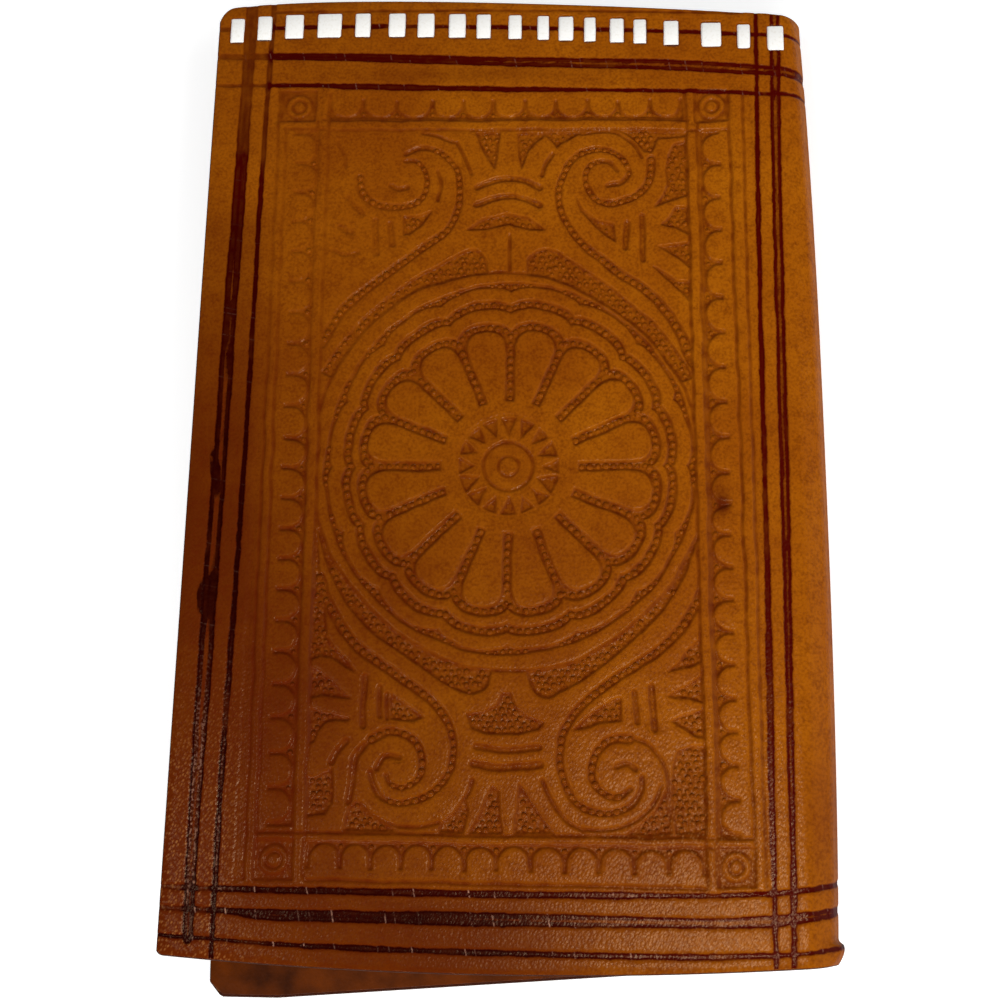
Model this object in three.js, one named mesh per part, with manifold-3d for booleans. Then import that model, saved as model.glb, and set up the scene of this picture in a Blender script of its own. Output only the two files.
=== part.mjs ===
// Tooled leather wallet: a bifold with a laced edge, lying closed on its back.
// Millimetres, +Z up. The spine is at +X, the laced edge at +Y, the open mouths at -Y.

import * as THREE from 'three';
import { mergeVertices } from 'three/addons/utils/BufferGeometryUtils.js';
import Module from 'manifold-3d';

const wasm = await Module();
wasm.setup();
const { Manifold, Mesh } = wasm;

// Closed size
const width = 108;
const thickness = 11;
const freeEdge = -width / 2;
const spineEdge = width / 2;

// Front half: heights of its bowed edges
const topAtFreeEdge = 84.4;
const topAtSpine = 81.2;
const topBow = 6.4;
const bottomAtFreeEdge = -84.2;
const bottomBow = 8.6;
const frontCornerRadius = 3.6;

// Back half: cut askew, so its lower corner hangs out below the front
const backTopCorner = [-53, 80.6];
const backLowestPoint = [-36, -91.2];
const backChamferLow = [-45.2, -91.2];
const backChamferHigh = [-47.4, -88.7];

// Leather, from the outside in
const clearance = 0.3;
const coverLeather = 1.6;
const liningLeather = 0.3;
const billSpace = 0.6;
const panelLeather = 0.6;
const cardSpace = 0.6;
const pocketLeather = 0.5;

// Rounded spine, cut by a mitre at each of its two folds
const foldRadius = thickness / 2;
const foldCentreX = spineEdge - foldRadius;
const mitreAngle = Math.PI / 4;
const mitreGap = 0.3;
const arcSteps = 10;

// Inner panels and pockets
const liningInset = 0.5;
const panelInset = 0.6;
const panelSpineEdge = 46.4;
const weltWidth = 3;
const lacedWelt = 9.5;
const pocketLeft = -44;
const pocketRight = 44;
const pocketTop = 72;
const pocketCorner = 5;
const rearPocketMouth = 2;
const frontPocketMouth = 17;
const passPocketMouth = -24;
const thumbNotchRadius = 9;

// Laced edge: each stitch is its middle along X and its length
const laceWidth = 4.8;
const laceLeather = 0.4;
const laceFromEdge = 5;
const slitPlay = 0.15;
const laceTail = 3;
const stitches = [
  [-50.5, 2.6], [-45.4, 2.7], [-39.8, 3.5], [-33.2, 4.6], [-27, 2.9], [-20.6, 3.2], [-15.2, 3.2],
  [-9.4, 3.2], [-4.5, 2.7], [1.3, 2.5], [6.5, 2.2], [10.7, 2.8], [15.1, 2.2], [20, 2.6],
  [24.2, 2.4], [29.9, 2.8], [37.2, 3.7], [43.1, 2.4], [48.8, 3],
];

// Depths from a half's outer face
const liningDepth = coverLeather + clearance;
const panelDepth = liningDepth + liningLeather + billSpace;
const rearPocketDepth = panelDepth + panelLeather + cardSpace;
const frontPocketDepth = rearPocketDepth + pocketLeather + clearance;
const laceInnerDepth = panelDepth + panelLeather + slitPlay;

// Leather and lace finishes
const tanLeather = { color: 0x8f4a0c, roughness: 0.45, metalness: 0 };
const innerLeather = { color: 0x8a4a12, roughness: 0.6, metalness: 0 };
const skiver = { color: 0x7a4a1e, roughness: 0.75, metalness: 0 };
const whiteThong = { color: 0xf4f0e6, roughness: 0.6, metalness: 0 };

// Solids and geometries
function solidFrom(geometry) {
  const bare = geometry.clone();
  bare.deleteAttribute('normal');
  bare.deleteAttribute('uv');
  const welded = mergeVertices(bare, 1e-4);
  return new Manifold(new Mesh({
    numProp: 3,
    vertProperties: new Float32Array(welded.attributes.position.array),
    triVerts: new Uint32Array(welded.index.array),
  }));
}

function geometryFrom(solid) {
  const mesh = solid.getMesh();
  const geometry = new THREE.BufferGeometry();
  geometry.setAttribute('position', new THREE.BufferAttribute(new Float32Array(mesh.vertProperties), 3));
  geometry.setIndex(new THREE.BufferAttribute(new Uint32Array(mesh.triVerts), 1));
  geometry.computeVertexNormals();
  return geometry;
}

function box(xLow, xHigh, yLow, yHigh, zLow, zHigh) {
  const geometry = new THREE.BoxGeometry(xHigh - xLow, yHigh - yLow, zHigh - zLow);
  geometry.translate((xLow + xHigh) / 2, (yLow + yHigh) / 2, (zLow + zHigh) / 2);
  return solidFrom(geometry);
}

// A plan outline in X and Y, raised between two heights
function plate(outline, zLow, zHigh) {
  const low = Math.min(zLow, zHigh);
  const high = Math.max(zLow, zHigh);
  const geometry = new THREE.ExtrudeGeometry(outline, { depth: high - low, bevelEnabled: false, curveSegments: 8 });
  geometry.translate(0, 0, low);
  return solidFrom(geometry);
}

// A cross-section in X and Z, drawn out along Y over the whole wallet
function drawnAlongY(section, length) {
  const geometry = new THREE.ExtrudeGeometry(section, { depth: length, bevelEnabled: false });
  geometry.rotateX(Math.PI / 2);
  geometry.translate(0, length / 2, 0);
  return geometry;
}

// Outlines of the two halves
const along = (x) => Math.min(1, Math.max(0, (x - freeEdge) / width));

function frontTop(x) {
  const u = along(x);
  return topAtFreeEdge + (topAtSpine - topAtFreeEdge) * u + topBow * Math.sqrt(u) * (1 - u);
}

function frontBottom(x) {
  const u = along(x);
  return bottomAtFreeEdge - bottomBow * u * (1 - u);
}

function backTop(x) {
  return backTopCorner[1] + (topAtSpine - backTopCorner[1]) * along(x);
}

function backFreeEdge(y) {
  const slope = (backChamferHigh[0] - backTopCorner[0]) / (backChamferHigh[1] - backTopCorner[1]);
  return backTopCorner[0] + slope * (y - backTopCorner[1]);
}

function backBottom(x) {
  const slope = (bottomAtFreeEdge - backLowestPoint[1]) / (spineEdge - backLowestPoint[0]);
  return backLowestPoint[1] + slope * (Math.min(x, spineEdge) - backLowestPoint[0]);
}

function frontOutline(inset, right) {
  const left = freeEdge + inset;
  const corner = frontCornerRadius;
  const steps = 24;
  const outline = new THREE.Shape();
  outline.moveTo(left, frontBottom(left) + inset);
  outline.lineTo(left, frontTop(left) - inset - corner);
  outline.quadraticCurveTo(left, frontTop(left) - inset, left + corner, frontTop(left + corner) - inset);
  for (let i = 1; i <= steps; i += 1) {
    const x = left + corner + ((right - left - corner) * i) / steps;
    outline.lineTo(x, frontTop(x) - inset);
  }
  for (let i = steps; i > 0; i -= 1) {
    const x = left + ((right - left) * i) / steps;
    outline.lineTo(x, frontBottom(x) + inset);
  }
  return outline;
}

function backOutline(inset, right) {
  const outline = new THREE.Shape();
  outline.moveTo(right, backBottom(right) + inset);
  outline.lineTo(backLowestPoint[0], backLowestPoint[1] + inset);
  outline.lineTo(backChamferLow[0] + inset, backChamferLow[1] + inset);
  outline.lineTo(backChamferHigh[0] + inset, backChamferHigh[1] + inset);
  outline.lineTo(backTopCorner[0] + inset, backTopCorner[1] - inset);
  outline.lineTo(right, backTop(right) - inset);
  return outline;
}

// The two halves differ in their outline and in which way their depth runs
const front = { outline: frontOutline, top: frontTop, freeEdge: () => freeEdge, side: 1 };
const back = { outline: backOutline, top: backTop, freeEdge: backFreeEdge, side: -1 };
const heightAt = (half, depth) => foldRadius + half.side * (foldRadius - depth);

// Cross-section of a skin that runs flat to the spine, then round to the mitre
function arcPoints(radius, from, to, side) {
  const points = [];
  for (let i = 0; i <= arcSteps; i += 1) {
    const angle = from + ((to - from) * i) / arcSteps;
    points.push(new THREE.Vector2(
      foldCentreX + radius * Math.cos(angle),
      foldRadius + side * radius * Math.sin(angle),
    ));
  }
  return points;
}

function halfSkin(half, depth, leather, inset) {
  const outer = foldRadius - depth;
  const inner = outer - leather;
  const end = mitreAngle + mitreGap / 2 / foldRadius;
  const far = freeEdge - 5;
  const section = new THREE.Shape([
    new THREE.Vector2(far, foldRadius + half.side * outer),
    ...arcPoints(outer, Math.PI / 2, end, half.side),
    ...arcPoints(inner, end, Math.PI / 2, half.side),
    new THREE.Vector2(far, foldRadius + half.side * inner),
  ]);
  const skin = solidFrom(drawnAlongY(section, 240));
  return skin.intersect(plate(half.outline(inset, spineEdge + 5), -1, thickness + 1));
}

function spineSkin(depth, leather, inset) {
  const outer = foldRadius - depth;
  const inner = outer - leather;
  const end = mitreAngle - mitreGap / 2 / foldRadius;
  const section = new THREE.Shape([
    ...arcPoints(outer, end, -end, 1),
    ...arcPoints(inner, -end, end, 1),
  ]);
  const skin = solidFrom(drawnAlongY(section, 240));
  const spine = new THREE.Shape();
  spine.moveTo(foldCentreX, bottomAtFreeEdge + inset);
  spine.lineTo(spineEdge + 1, bottomAtFreeEdge + inset);
  spine.lineTo(spineEdge + 1, topAtSpine - inset);
  spine.lineTo(foldCentreX, topAtSpine - inset);
  return skin.intersect(plate(spine, -1, thickness + 1));
}

// Lacing: a recess under each outer stitch, and a slit at each of its ends
const laceRow = (half, x) => half.top(x) - laceFromEdge;

function slits(half) {
  const reach = laceWidth / 2 + slitPlay;
  const slitWidth = laceLeather + 2 * slitPlay;
  const outside = heightAt(half, -1);
  const recessFloor = heightAt(half, laceLeather + slitPlay);
  const inside = heightAt(half, laceInnerDepth + 1);
  const cuts = [];
  for (const [middle, length] of stitches) {
    const start = middle - length / 2;
    const end = middle + length / 2;
    const row = laceRow(half, middle);
    const spans = [
      [start, end, recessFloor],
      [start, start + slitWidth, inside],
      [end - slitWidth, end, inside],
    ];
    for (const [from, to, z] of spans) {
      cuts.push(box(from, to, row - reach, row + reach, Math.min(outside, z), Math.max(outside, z)));
    }
  }
  return Manifold.union(cuts);
}

// The thong is one unbroken strip: its outer edge going out, its inner edge coming back
function lace(half) {
  const outerTop = heightAt(half, 0);
  const outerUnder = heightAt(half, laceLeather);
  const innerTop = heightAt(half, laceInnerDepth);
  const innerUnder = heightAt(half, laceInnerDepth + laceLeather);
  const going = [];
  const coming = [];
  for (const [middle, length] of stitches) {
    const start = middle - length / 2 + slitPlay;
    const end = middle + length / 2 - slitPlay;
    going.push([start, innerTop], [start, outerTop], [end, outerTop], [end, innerTop]);
    coming.push([start + laceLeather, innerUnder], [start + laceLeather, outerUnder]);
    coming.push([end - laceLeather, outerUnder], [end - laceLeather, innerUnder]);
  }
  const firstX = going[0][0] - laceTail / 4;
  const lastX = going[going.length - 1][0] + laceTail / 4;
  const strip = [[firstX, innerTop], ...going, [lastX, innerTop], [lastX, innerUnder]];
  strip.push(...coming.reverse(), [firstX, innerUnder]);
  const section = new THREE.Shape(strip.map(([x, z]) => new THREE.Vector2(x, z)));
  const geometry = drawnAlongY(section, laceWidth);
  const position = geometry.attributes.position;
  const stitchAt = (x) => stitches.find(([middle, length]) => Math.abs(x - middle) <= length / 2);
  for (let i = 0; i < position.count; i += 1) {
    const x = position.getX(i);
    const stitch = stitchAt(x);
    position.setY(i, position.getY(i) + laceRow(half, stitch ? stitch[0] : x));
  }
  return solidFrom(geometry);
}

// Inner panel of a bill compartment, with a welt that closes its free and laced edges
function billPanel(half) {
  const outline = half.outline(panelInset, panelSpineEdge);
  const faceOut = heightAt(half, panelDepth);
  const faceIn = heightAt(half, panelDepth + panelLeather);
  const weltTop = heightAt(half, panelDepth - billSpace + clearance);
  const sheet = plate(outline, faceOut, faceIn);
  const belowMouth = -120;
  const weltEdge = (y) => half.freeEdge(y) + panelInset + weltWidth;
  const lacedLeft = half.top(freeEdge) - lacedWelt;
  const open = new THREE.Shape();
  open.moveTo(weltEdge(belowMouth), belowMouth);
  open.lineTo(spineEdge, belowMouth);
  open.lineTo(spineEdge, half.top(spineEdge) - lacedWelt);
  open.lineTo(weltEdge(lacedLeft), lacedLeft);
  const welt = plate(outline, faceOut, weltTop).subtract(plate(open, -1, thickness + 1));
  return sheet.add(welt);
}

// Pocket: a sheet with rounded corners, a thumb notch in its mouth and a welt on three sides
function pocketOutline(left, right, top, mouth) {
  const outline = new THREE.Shape();
  outline.moveTo(left, mouth);
  outline.lineTo(left, top - pocketCorner);
  outline.absarc(left + pocketCorner, top - pocketCorner, pocketCorner, Math.PI, Math.PI / 2, true);
  outline.lineTo(right - pocketCorner, top);
  outline.absarc(right - pocketCorner, top - pocketCorner, pocketCorner, Math.PI / 2, 0, true);
  outline.lineTo(right, mouth);
  outline.lineTo((left + right) / 2 + thumbNotchRadius, mouth);
  outline.absarc((left + right) / 2, mouth, thumbNotchRadius, 0, Math.PI, false);
  return outline;
}

function cardPocket(half, depth, space, top, mouth) {
  const faceOut = heightAt(half, depth);
  const faceIn = heightAt(half, depth + pocketLeather);
  const sheet = plate(pocketOutline(pocketLeft, pocketRight, top, mouth), faceOut, faceIn);
  if (space <= clearance) {
    return sheet;
  }
  const weltTop = heightAt(half, depth - space + clearance);
  const whole = plate(pocketOutline(pocketLeft, pocketRight, top, mouth), faceOut, weltTop);
  const inner = box(pocketLeft + weltWidth, pocketRight - weltWidth, mouth - 1, top - weltWidth, -1, thickness + 1);
  return sheet.add(whole.subtract(inner));
}

// Assembly
const wallet = new THREE.Group();
wallet.name = 'tooled_leather_wallet';

function addPiece(name, solid, finish) {
  const piece = new THREE.Mesh(geometryFrom(solid), new THREE.MeshStandardMaterial(finish));
  piece.name = name;
  wallet.add(piece);
}

for (const [name, half] of [['front', front], ['back', back]]) {
  const cuts = slits(half);
  addPiece(`${name}_cover`, halfSkin(half, 0, coverLeather, 0).subtract(cuts), tanLeather);
  addPiece(`${name}_lining`, halfSkin(half, liningDepth, liningLeather, liningInset).subtract(cuts), skiver);
  addPiece(`${name}_bill_panel`, billPanel(half).subtract(cuts), innerLeather);
  addPiece(`${name}_lace`, lace(half), whiteThong);
}
addPiece('spine_cover', spineSkin(0, coverLeather, 0), tanLeather);
addPiece('spine_lining', spineSkin(liningDepth, liningLeather, liningInset), skiver);
addPiece('front_pass_pocket', cardPocket(front, rearPocketDepth, cardSpace, pocketTop, passPocketMouth), innerLeather);
addPiece('back_card_pocket_rear', cardPocket(back, rearPocketDepth, cardSpace, pocketTop, rearPocketMouth), innerLeather);
addPiece('back_card_pocket_front', cardPocket(back, frontPocketDepth, clearance, pocketTop, frontPocketMouth), innerLeather);

// The origin is under the middle of the closed wallet
const highest = Math.max(...Array.from({ length: 200 }, (_, i) => frontTop(freeEdge + (width * i) / 199)));
wallet.position.y = -(highest + backLowestPoint[1]) / 2;

export default wallet;
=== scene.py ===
import bpy
import math
import numpy as np
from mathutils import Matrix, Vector
from mathutils.geometry import delaunay_2d_cdt


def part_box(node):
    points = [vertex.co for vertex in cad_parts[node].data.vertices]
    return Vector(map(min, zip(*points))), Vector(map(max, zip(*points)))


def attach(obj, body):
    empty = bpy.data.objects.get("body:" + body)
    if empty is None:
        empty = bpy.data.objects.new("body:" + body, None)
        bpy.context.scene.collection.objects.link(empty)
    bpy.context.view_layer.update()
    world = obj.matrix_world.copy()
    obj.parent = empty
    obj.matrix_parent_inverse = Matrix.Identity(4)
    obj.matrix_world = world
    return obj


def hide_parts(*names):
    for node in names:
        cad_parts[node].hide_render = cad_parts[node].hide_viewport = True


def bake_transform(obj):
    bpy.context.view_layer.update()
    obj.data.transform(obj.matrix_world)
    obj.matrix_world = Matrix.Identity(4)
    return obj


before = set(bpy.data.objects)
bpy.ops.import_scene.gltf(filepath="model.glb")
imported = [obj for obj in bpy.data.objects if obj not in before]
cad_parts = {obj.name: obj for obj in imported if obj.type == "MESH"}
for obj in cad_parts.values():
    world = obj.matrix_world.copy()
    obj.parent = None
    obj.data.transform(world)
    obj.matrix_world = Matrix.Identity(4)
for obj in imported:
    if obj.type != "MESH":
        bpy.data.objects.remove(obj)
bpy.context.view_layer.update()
scene = bpy.context.scene
scene.view_settings.view_transform = "Standard"
mm = 0.001

# Wallet outline in millimetres, as the CAD has it; x runs from the free edge to the spine,
# y counts from the middle of the tooled front, and the spine is unrolled past foldX.
wallet = {
    "freeEdge": -54.0,
    "spineEdge": 54.0,
    "foldX": 48.5,
    "foldRadius": 5.5,
    "leather": 1.6,
    "topAtFree": 84.4,
    "topAtSpine": 81.6,
    "topBow": 6.4,
    "bottomAtFree": -84.2,
    "bottomBow": 8.6,
    "cornerRun": 2.8,
    "cornerDrop": 3.8,
    "lowCorner": 1.2,
}
backCut = {
    "topLeft": (-53.0, 80.6),
    "lowest": (-36.0, -91.2),
    "chamferLow": (-45.2, -91.2),
    "chamferHigh": (-47.4, -88.7),
}
spineMiddle = wallet["foldX"] + wallet["foldRadius"] * math.pi / 2
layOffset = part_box("back_cover")[0].y / mm - backCut["lowest"][1]


def across(x):
    return np.clip((x - wallet["freeEdge"]) / (wallet["spineEdge"] - wallet["freeEdge"]), 0, 1)


def frontTop(x):
    u = across(x)
    corner = np.clip(1 - (x - wallet["freeEdge"]) / wallet["cornerRun"], 0, 1)
    bow = wallet["topBow"] * np.sqrt(u) * (1 - u)
    straight = wallet["topAtFree"] + (wallet["topAtSpine"] - wallet["topAtFree"]) * u
    return straight + bow - wallet["cornerDrop"] * (1 - np.sqrt(1 - corner**2))


def frontBottom(x):
    u = across(x)
    corner = np.clip(1 - (x - wallet["freeEdge"]) / wallet["lowCorner"], 0, 1)
    bow = wallet["bottomBow"] * u * (1 - u)
    return wallet["bottomAtFree"] - bow + wallet["lowCorner"] * (1 - np.sqrt(1 - corner**2))


def frontFree(v):
    return np.full_like(v, wallet["freeEdge"])


def backTop(x):
    return backCut["topLeft"][1] + (wallet["topAtSpine"] - backCut["topLeft"][1]) * across(x)


def backBottom(x):
    low, start, end = backCut["lowest"], backCut["chamferLow"], backCut["chamferHigh"]
    slope = (wallet["bottomAtFree"] - low[1]) / (wallet["spineEdge"] - low[0])
    slant = low[1] + slope * np.clip(x - low[0], 0, wallet["spineEdge"] - low[0])
    chamfer = (end[1] - start[1]) / (start[0] - end[0])
    return slant + chamfer * np.clip(start[0] - x, 0, None)


def backFree(v):
    return backCut["chamferHigh"][0] + (backCut["topLeft"][0] - backCut["chamferHigh"][0]) * v


# Small numeric helpers
def smoothStep(t):
    t = np.clip(t, 0, 1)
    return t * t * (3 - 2 * t)


def ramp(value, start, end):  # 0 at the start, 1 at the end
    return smoothStep((value - start) / (end - start))


def curveThrough(points, perSpan=8):
    p = np.array(points, float)
    q = np.vstack([2 * p[0] - p[1], p, 2 * p[-1] - p[-2]])
    t = np.linspace(0, 1, perSpan, endpoint=False)[:, None]
    made = []
    for a, b, c, d in zip(q, q[1:], q[2:], q[3:]):
        made.append(0.5 * (2 * b + (c - a) * t + (2 * a - 5 * b + 4 * c - d) * t**2
                           + (3 * b - 3 * c + d - a) * t**3))
    made.append(p[-1:])
    return np.vstack(made)


def alongPath(path):
    steps = np.linalg.norm(np.diff(path, axis=0), axis=1)
    return np.concatenate([[0], np.cumsum(steps)])


def latticeNoise(x, y, cell, seed, count=64):
    cells = np.random.default_rng(seed).random((count, count))
    gx, gy = x / cell, y / cell
    ix, iy = np.floor(gx).astype(int), np.floor(gy).astype(int)
    fx, fy = smoothStep(gx - ix), smoothStep(gy - iy)
    at = lambda i, j: cells[(ix + i) % count, (iy + j) % count]
    low = at(0, 0) * (1 - fx) + at(1, 0) * fx
    high = at(0, 1) * (1 - fx) + at(1, 1) * fx
    return low * (1 - fy) + high * fy


# Soft waves laid over one another, each with its length and its reach in millimetres
def waver(x, y, waves, seed):
    return sum(reach * (latticeNoise(x, y, cell, seed + k) - 0.5) for k, (cell, reach) in enumerate(waves))


# Tooling: each half has a fine raster of how deep and how stippled its leather is, and of the distance
# to the nearest cut edge and to the nearest painted edge, below zero inside, from which the material
# draws crisp lines
rasterStep = 0.2
farOff = 3.0


def newTooling(yLow, yHigh):
    xs = np.arange(wallet["freeEdge"] - 1, spineMiddle + 1, rasterStep)
    ys = np.arange(yLow, yHigh, rasterStep)
    tooling = {"x": xs, "y": ys}
    for name in ("depth", "raised", "coat", "stipple", "level"):
        tooling[name] = np.zeros((len(xs), len(ys)))
    for name in ("cut", "paint"):
        tooling[name] = np.full((len(xs), len(ys)), farOff)
    return tooling


def windowOf(tooling, points, margin):
    low, high = points.min(0) - margin, points.max(0) + margin
    i = slice(*np.searchsorted(tooling["x"], (low[0], high[0])))
    j = slice(*np.searchsorted(tooling["y"], (low[1], high[1])))
    return i, j


def pathDistance(path, x, y):
    best = np.full(x.shape, 1e9)
    place = np.zeros(x.shape)
    run = alongPath(path)
    for a, b, s in zip(path[:-1], path[1:], run):
        d = b - a
        length = d @ d
        if length < 1e-12:
            continue
        t = np.clip(((x - a[0]) * d[0] + (y - a[1]) * d[1]) / length, 0, 1)
        gap = np.hypot(x - a[0] - t * d[0], y - a[1] - t * d[1])
        closer = gap < best
        best = np.where(closer, gap, best)
        place = np.where(closer, s + t * math.sqrt(length), place)
    return best, place / max(run[-1], 1e-9)


def signedDistance(outline, x, y):
    ring = np.vstack([outline, outline[:1]])
    gap, _ = pathDistance(ring, x, y)
    inside = np.zeros(x.shape, bool)
    for a, b in zip(ring[:-1], ring[1:]):
        crosses = (a[1] > y) != (b[1] > y)
        edge = a[0] + (y - a[1]) * (b[0] - a[0]) / np.where(b[1] == a[1], 1e-9, b[1] - a[1])
        inside ^= crosses & (x < edge)
    return np.where(inside, -gap, gap)


def pressIn(tooling, window, gap, depth, bevel=0.55, stipple=0.0, within=None, outlined=True):
    gap = gap if within is None else np.maximum(gap, within)
    pressed = smoothStep(0.5 - gap / bevel)
    tooling["depth"][window] = np.maximum(tooling["depth"][window], depth * pressed)
    if outlined:
        tooling["cut"][window] = np.minimum(tooling["cut"][window], gap)
    if stipple:
        tooling["stipple"][window] = np.maximum(tooling["stipple"][window], stipple * pressed)


# How far the tool has strayed from the drawn line; a ruled line has only a share of it
stray = {"waves": [(5.0, 0.36), (1.6, 0.18)], "seeds": (51, 53), "ruled": 0.3}
waveShift = 200


def strayed(x, y):
    return [waver(x + waveShift, y + waveShift, stray["waves"], seed) for seed in stray["seeds"]]


def meshWindow(tooling, window, share=1.0):
    x, y = np.meshgrid(tooling["x"][window[0]], tooling["y"][window[1]], indexing="ij")
    strayX, strayY = strayed(x, y)
    return x + share * strayX, y + share * strayY


wholeField = (slice(None), slice(None))


def pressStroke(tooling, path, width, depth, widthEnd=None, fieldGap=None, outlined=True):
    window = windowOf(tooling, path, margin=3)
    x, y = meshWindow(tooling, window)
    gap, place = pathDistance(path, x, y)
    half = (width + ((width if widthEnd is None else widthEnd) - width) * place) / 2
    within = None if fieldGap is None else fieldGap[window]
    pressIn(tooling, window, gap - half, depth, within=within, outlined=outlined)


def pressRegion(tooling, outline, depth, fieldGap):
    window = windowOf(tooling, outline, margin=2)
    x, y = meshWindow(tooling, window)
    pressIn(tooling, window, signedDistance(outline, x, y), depth, stipple=1.0, within=fieldGap[window])


# Border lines, creased and then painted with oxblood dye. Each point has its place, the width of the
# painted band there and, on a double line, the bare slit between its two strokes. Strength is how much dye
# was laid on, and left is the share that a level line still has beside the free edge.
dyedLines = {
    "freeDouble": {
        "points": [
            (-47.9, 88, 2.2, -0.3), (-48.2, 46, 2.3, -0.3), (-48.4, 32, 2.4, 0.1),
            (-48.5, 18, 2.4, 0.6), (-48.6, 4, 2.4, 0.55), (-48.8, -14, 2.4, 0.85), (-49, -36, 2.5, 0.6),
            (-49.2, -62, 2.0, 0.4), (-49, -81.6, 1.7, 0.3),
        ],
        "strength": 1.0, "left": 1.0,
    },
    "freeSingle": {
        "points": [
            (-43.8, 88, 0.9), (-44.25, 46, 0.9), (-44.35, 0, 0.8), (-44.7, -30, 1.0),
            (-45.1, -56, 0.95), (-45.1, -90, 0.75),
        ],
        "strength": 0.95, "left": 1.0,
    },
    "spineSingle": {
        "points": [
            (45.5, 88, 0.7), (44.75, 48, 0.8), (44.4, 6, 0.8), (44.2, -30, 1.05), (43.85, -60, 1.0),
            (43.8, -75, 0.8), (43.6, -90, 0.7),
        ],
        "strength": 0.95, "left": 1.0,
    },
    "spineDouble": {
        "points": [
            (48.9, 88, 1.8, 0.5), (48.15, 52, 1.85, 0.5), (47.8, 12, 1.6, 0.35),
            (47.5, -20, 1.45, 0.25), (47.15, -44, 1.15, 0.1), (46.85, -70, 1.0, 0.1),
            (46.35, -88, 0.95, 0),
        ],
        "strength": 1.0, "left": 1.0,
    },
    "lacedOuter": {
        "points": [
            (-56, 80.7, 0.7), (-37, 80.85, 0.9), (-10, 80.5, 0.8), (16, 79.4, 0.8), (32, 78.6, 0.75),
            (47, 77.7, 0.8), (58, 77.7, 0.6),
        ],
        "strength": 0.85, "left": 0.35,
    },
    "lacedDouble": {
        "points": [
            (-56, 75, 1.0, 0), (-43.5, 74.85, 1.3, 0), (-28.5, 74.4, 1.65, -0.2),
            (-13.5, 73.75, 1.7, -0.2), (1.5, 73, 1.8, 0.2), (16.5, 72.5, 2.0, 0.35),
            (31.5, 71.8, 2.0, 0.35), (46.5, 70.5, 2.0, 0.4), (58, 69.9, 1.8, 0.4),
        ],
        "strength": 1.0, "left": 0.3,
    },
    "lacedInner": {
        "points": [
            (-56, 69.1, 0.5), (-36, 68.8, 0.8), (-28, 68.4, 1.25), (-12, 67.9, 1.1), (4, 67.35, 0.95),
            (24, 66.85, 0.8), (40, 66.2, 0.75), (47, 65.75, 0.8), (58, 65.9, 0.5),
        ],
        "strength": 1.0, "left": 0.35,
    },
    "edgeThin": {
        "points": [(-44, 84.1, 0.35), (0, 83.6, 0.35), (43, 82.2, 0.35)], "strength": 0.3, "left": 1.0,
    },
    "mouthInner": {
        "points": [
            (-56, -73.6, 0.5), (-43, -73.9, 0.9), (-20, -74.05, 1.15), (10, -74.05, 1.1),
            (30, -73.85, 0.85), (40, -73.6, 0.8), (47, -73, 0.9), (58, -71.4, 0.8),
        ],
        "strength": 1.0, "left": 0.35,
    },
    "mouthDouble": {
        "points": [
            (-56, -76.8, 0.7, 0), (-43.5, -77.25, 1.0, 0), (-36, -77.75, 1.7, 0), (-13, -77.9, 2.0, 0),
            (1.5, -77.95, 2.1, 0.2), (16.5, -77.95, 1.9, 0.45), (31.5, -78, 1.7, 0.55),
            (40, -77.8, 1.7, 0.5), (47, -77.1, 1.8, 0.3), (58, -75.4, 1.2, 0),
        ],
        "strength": 1.0, "left": 0.4,
    },
    "mouthOuter": {
        "points": [
            (-56, -81, 0.6), (-43, -81.7, 0.65), (-30, -82.4, 0.85), (0, -83, 0.9), (28, -83.1, 0.9),
            (40, -82.75, 0.8), (47, -82.4, 0.7), (58, -80.9, 0.6),
        ],
        "strength": 0.95, "left": 0.9,
    },
}
dyeFade = {"level": (-45.6, -43.4), "uprightX": (0, -30), "uprightY": (40, 70), "uprightLoss": 0.5}
dyeBand = {"depth": 0.16, "bevel": 0.5}
dyeCrease = {"width": 0.26, "depth": 0.2, "bevel": 0.3}  # two to a line, and a third down a double's middle
dyeBrush = {
    "ragged": [(1.0, 0.2), (6, 0.16)],  # waves of the brush's edge
    "least": 0.5,  # the coat in its thinnest places
    "cover": [(9, 0.55), (1.6, 0.35)],  # size of its thick places, and what they add
    "spill": 0.8,  # how far past the band the coat is kept, and how softly it ends
    "soft": 0.6,
}


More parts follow.
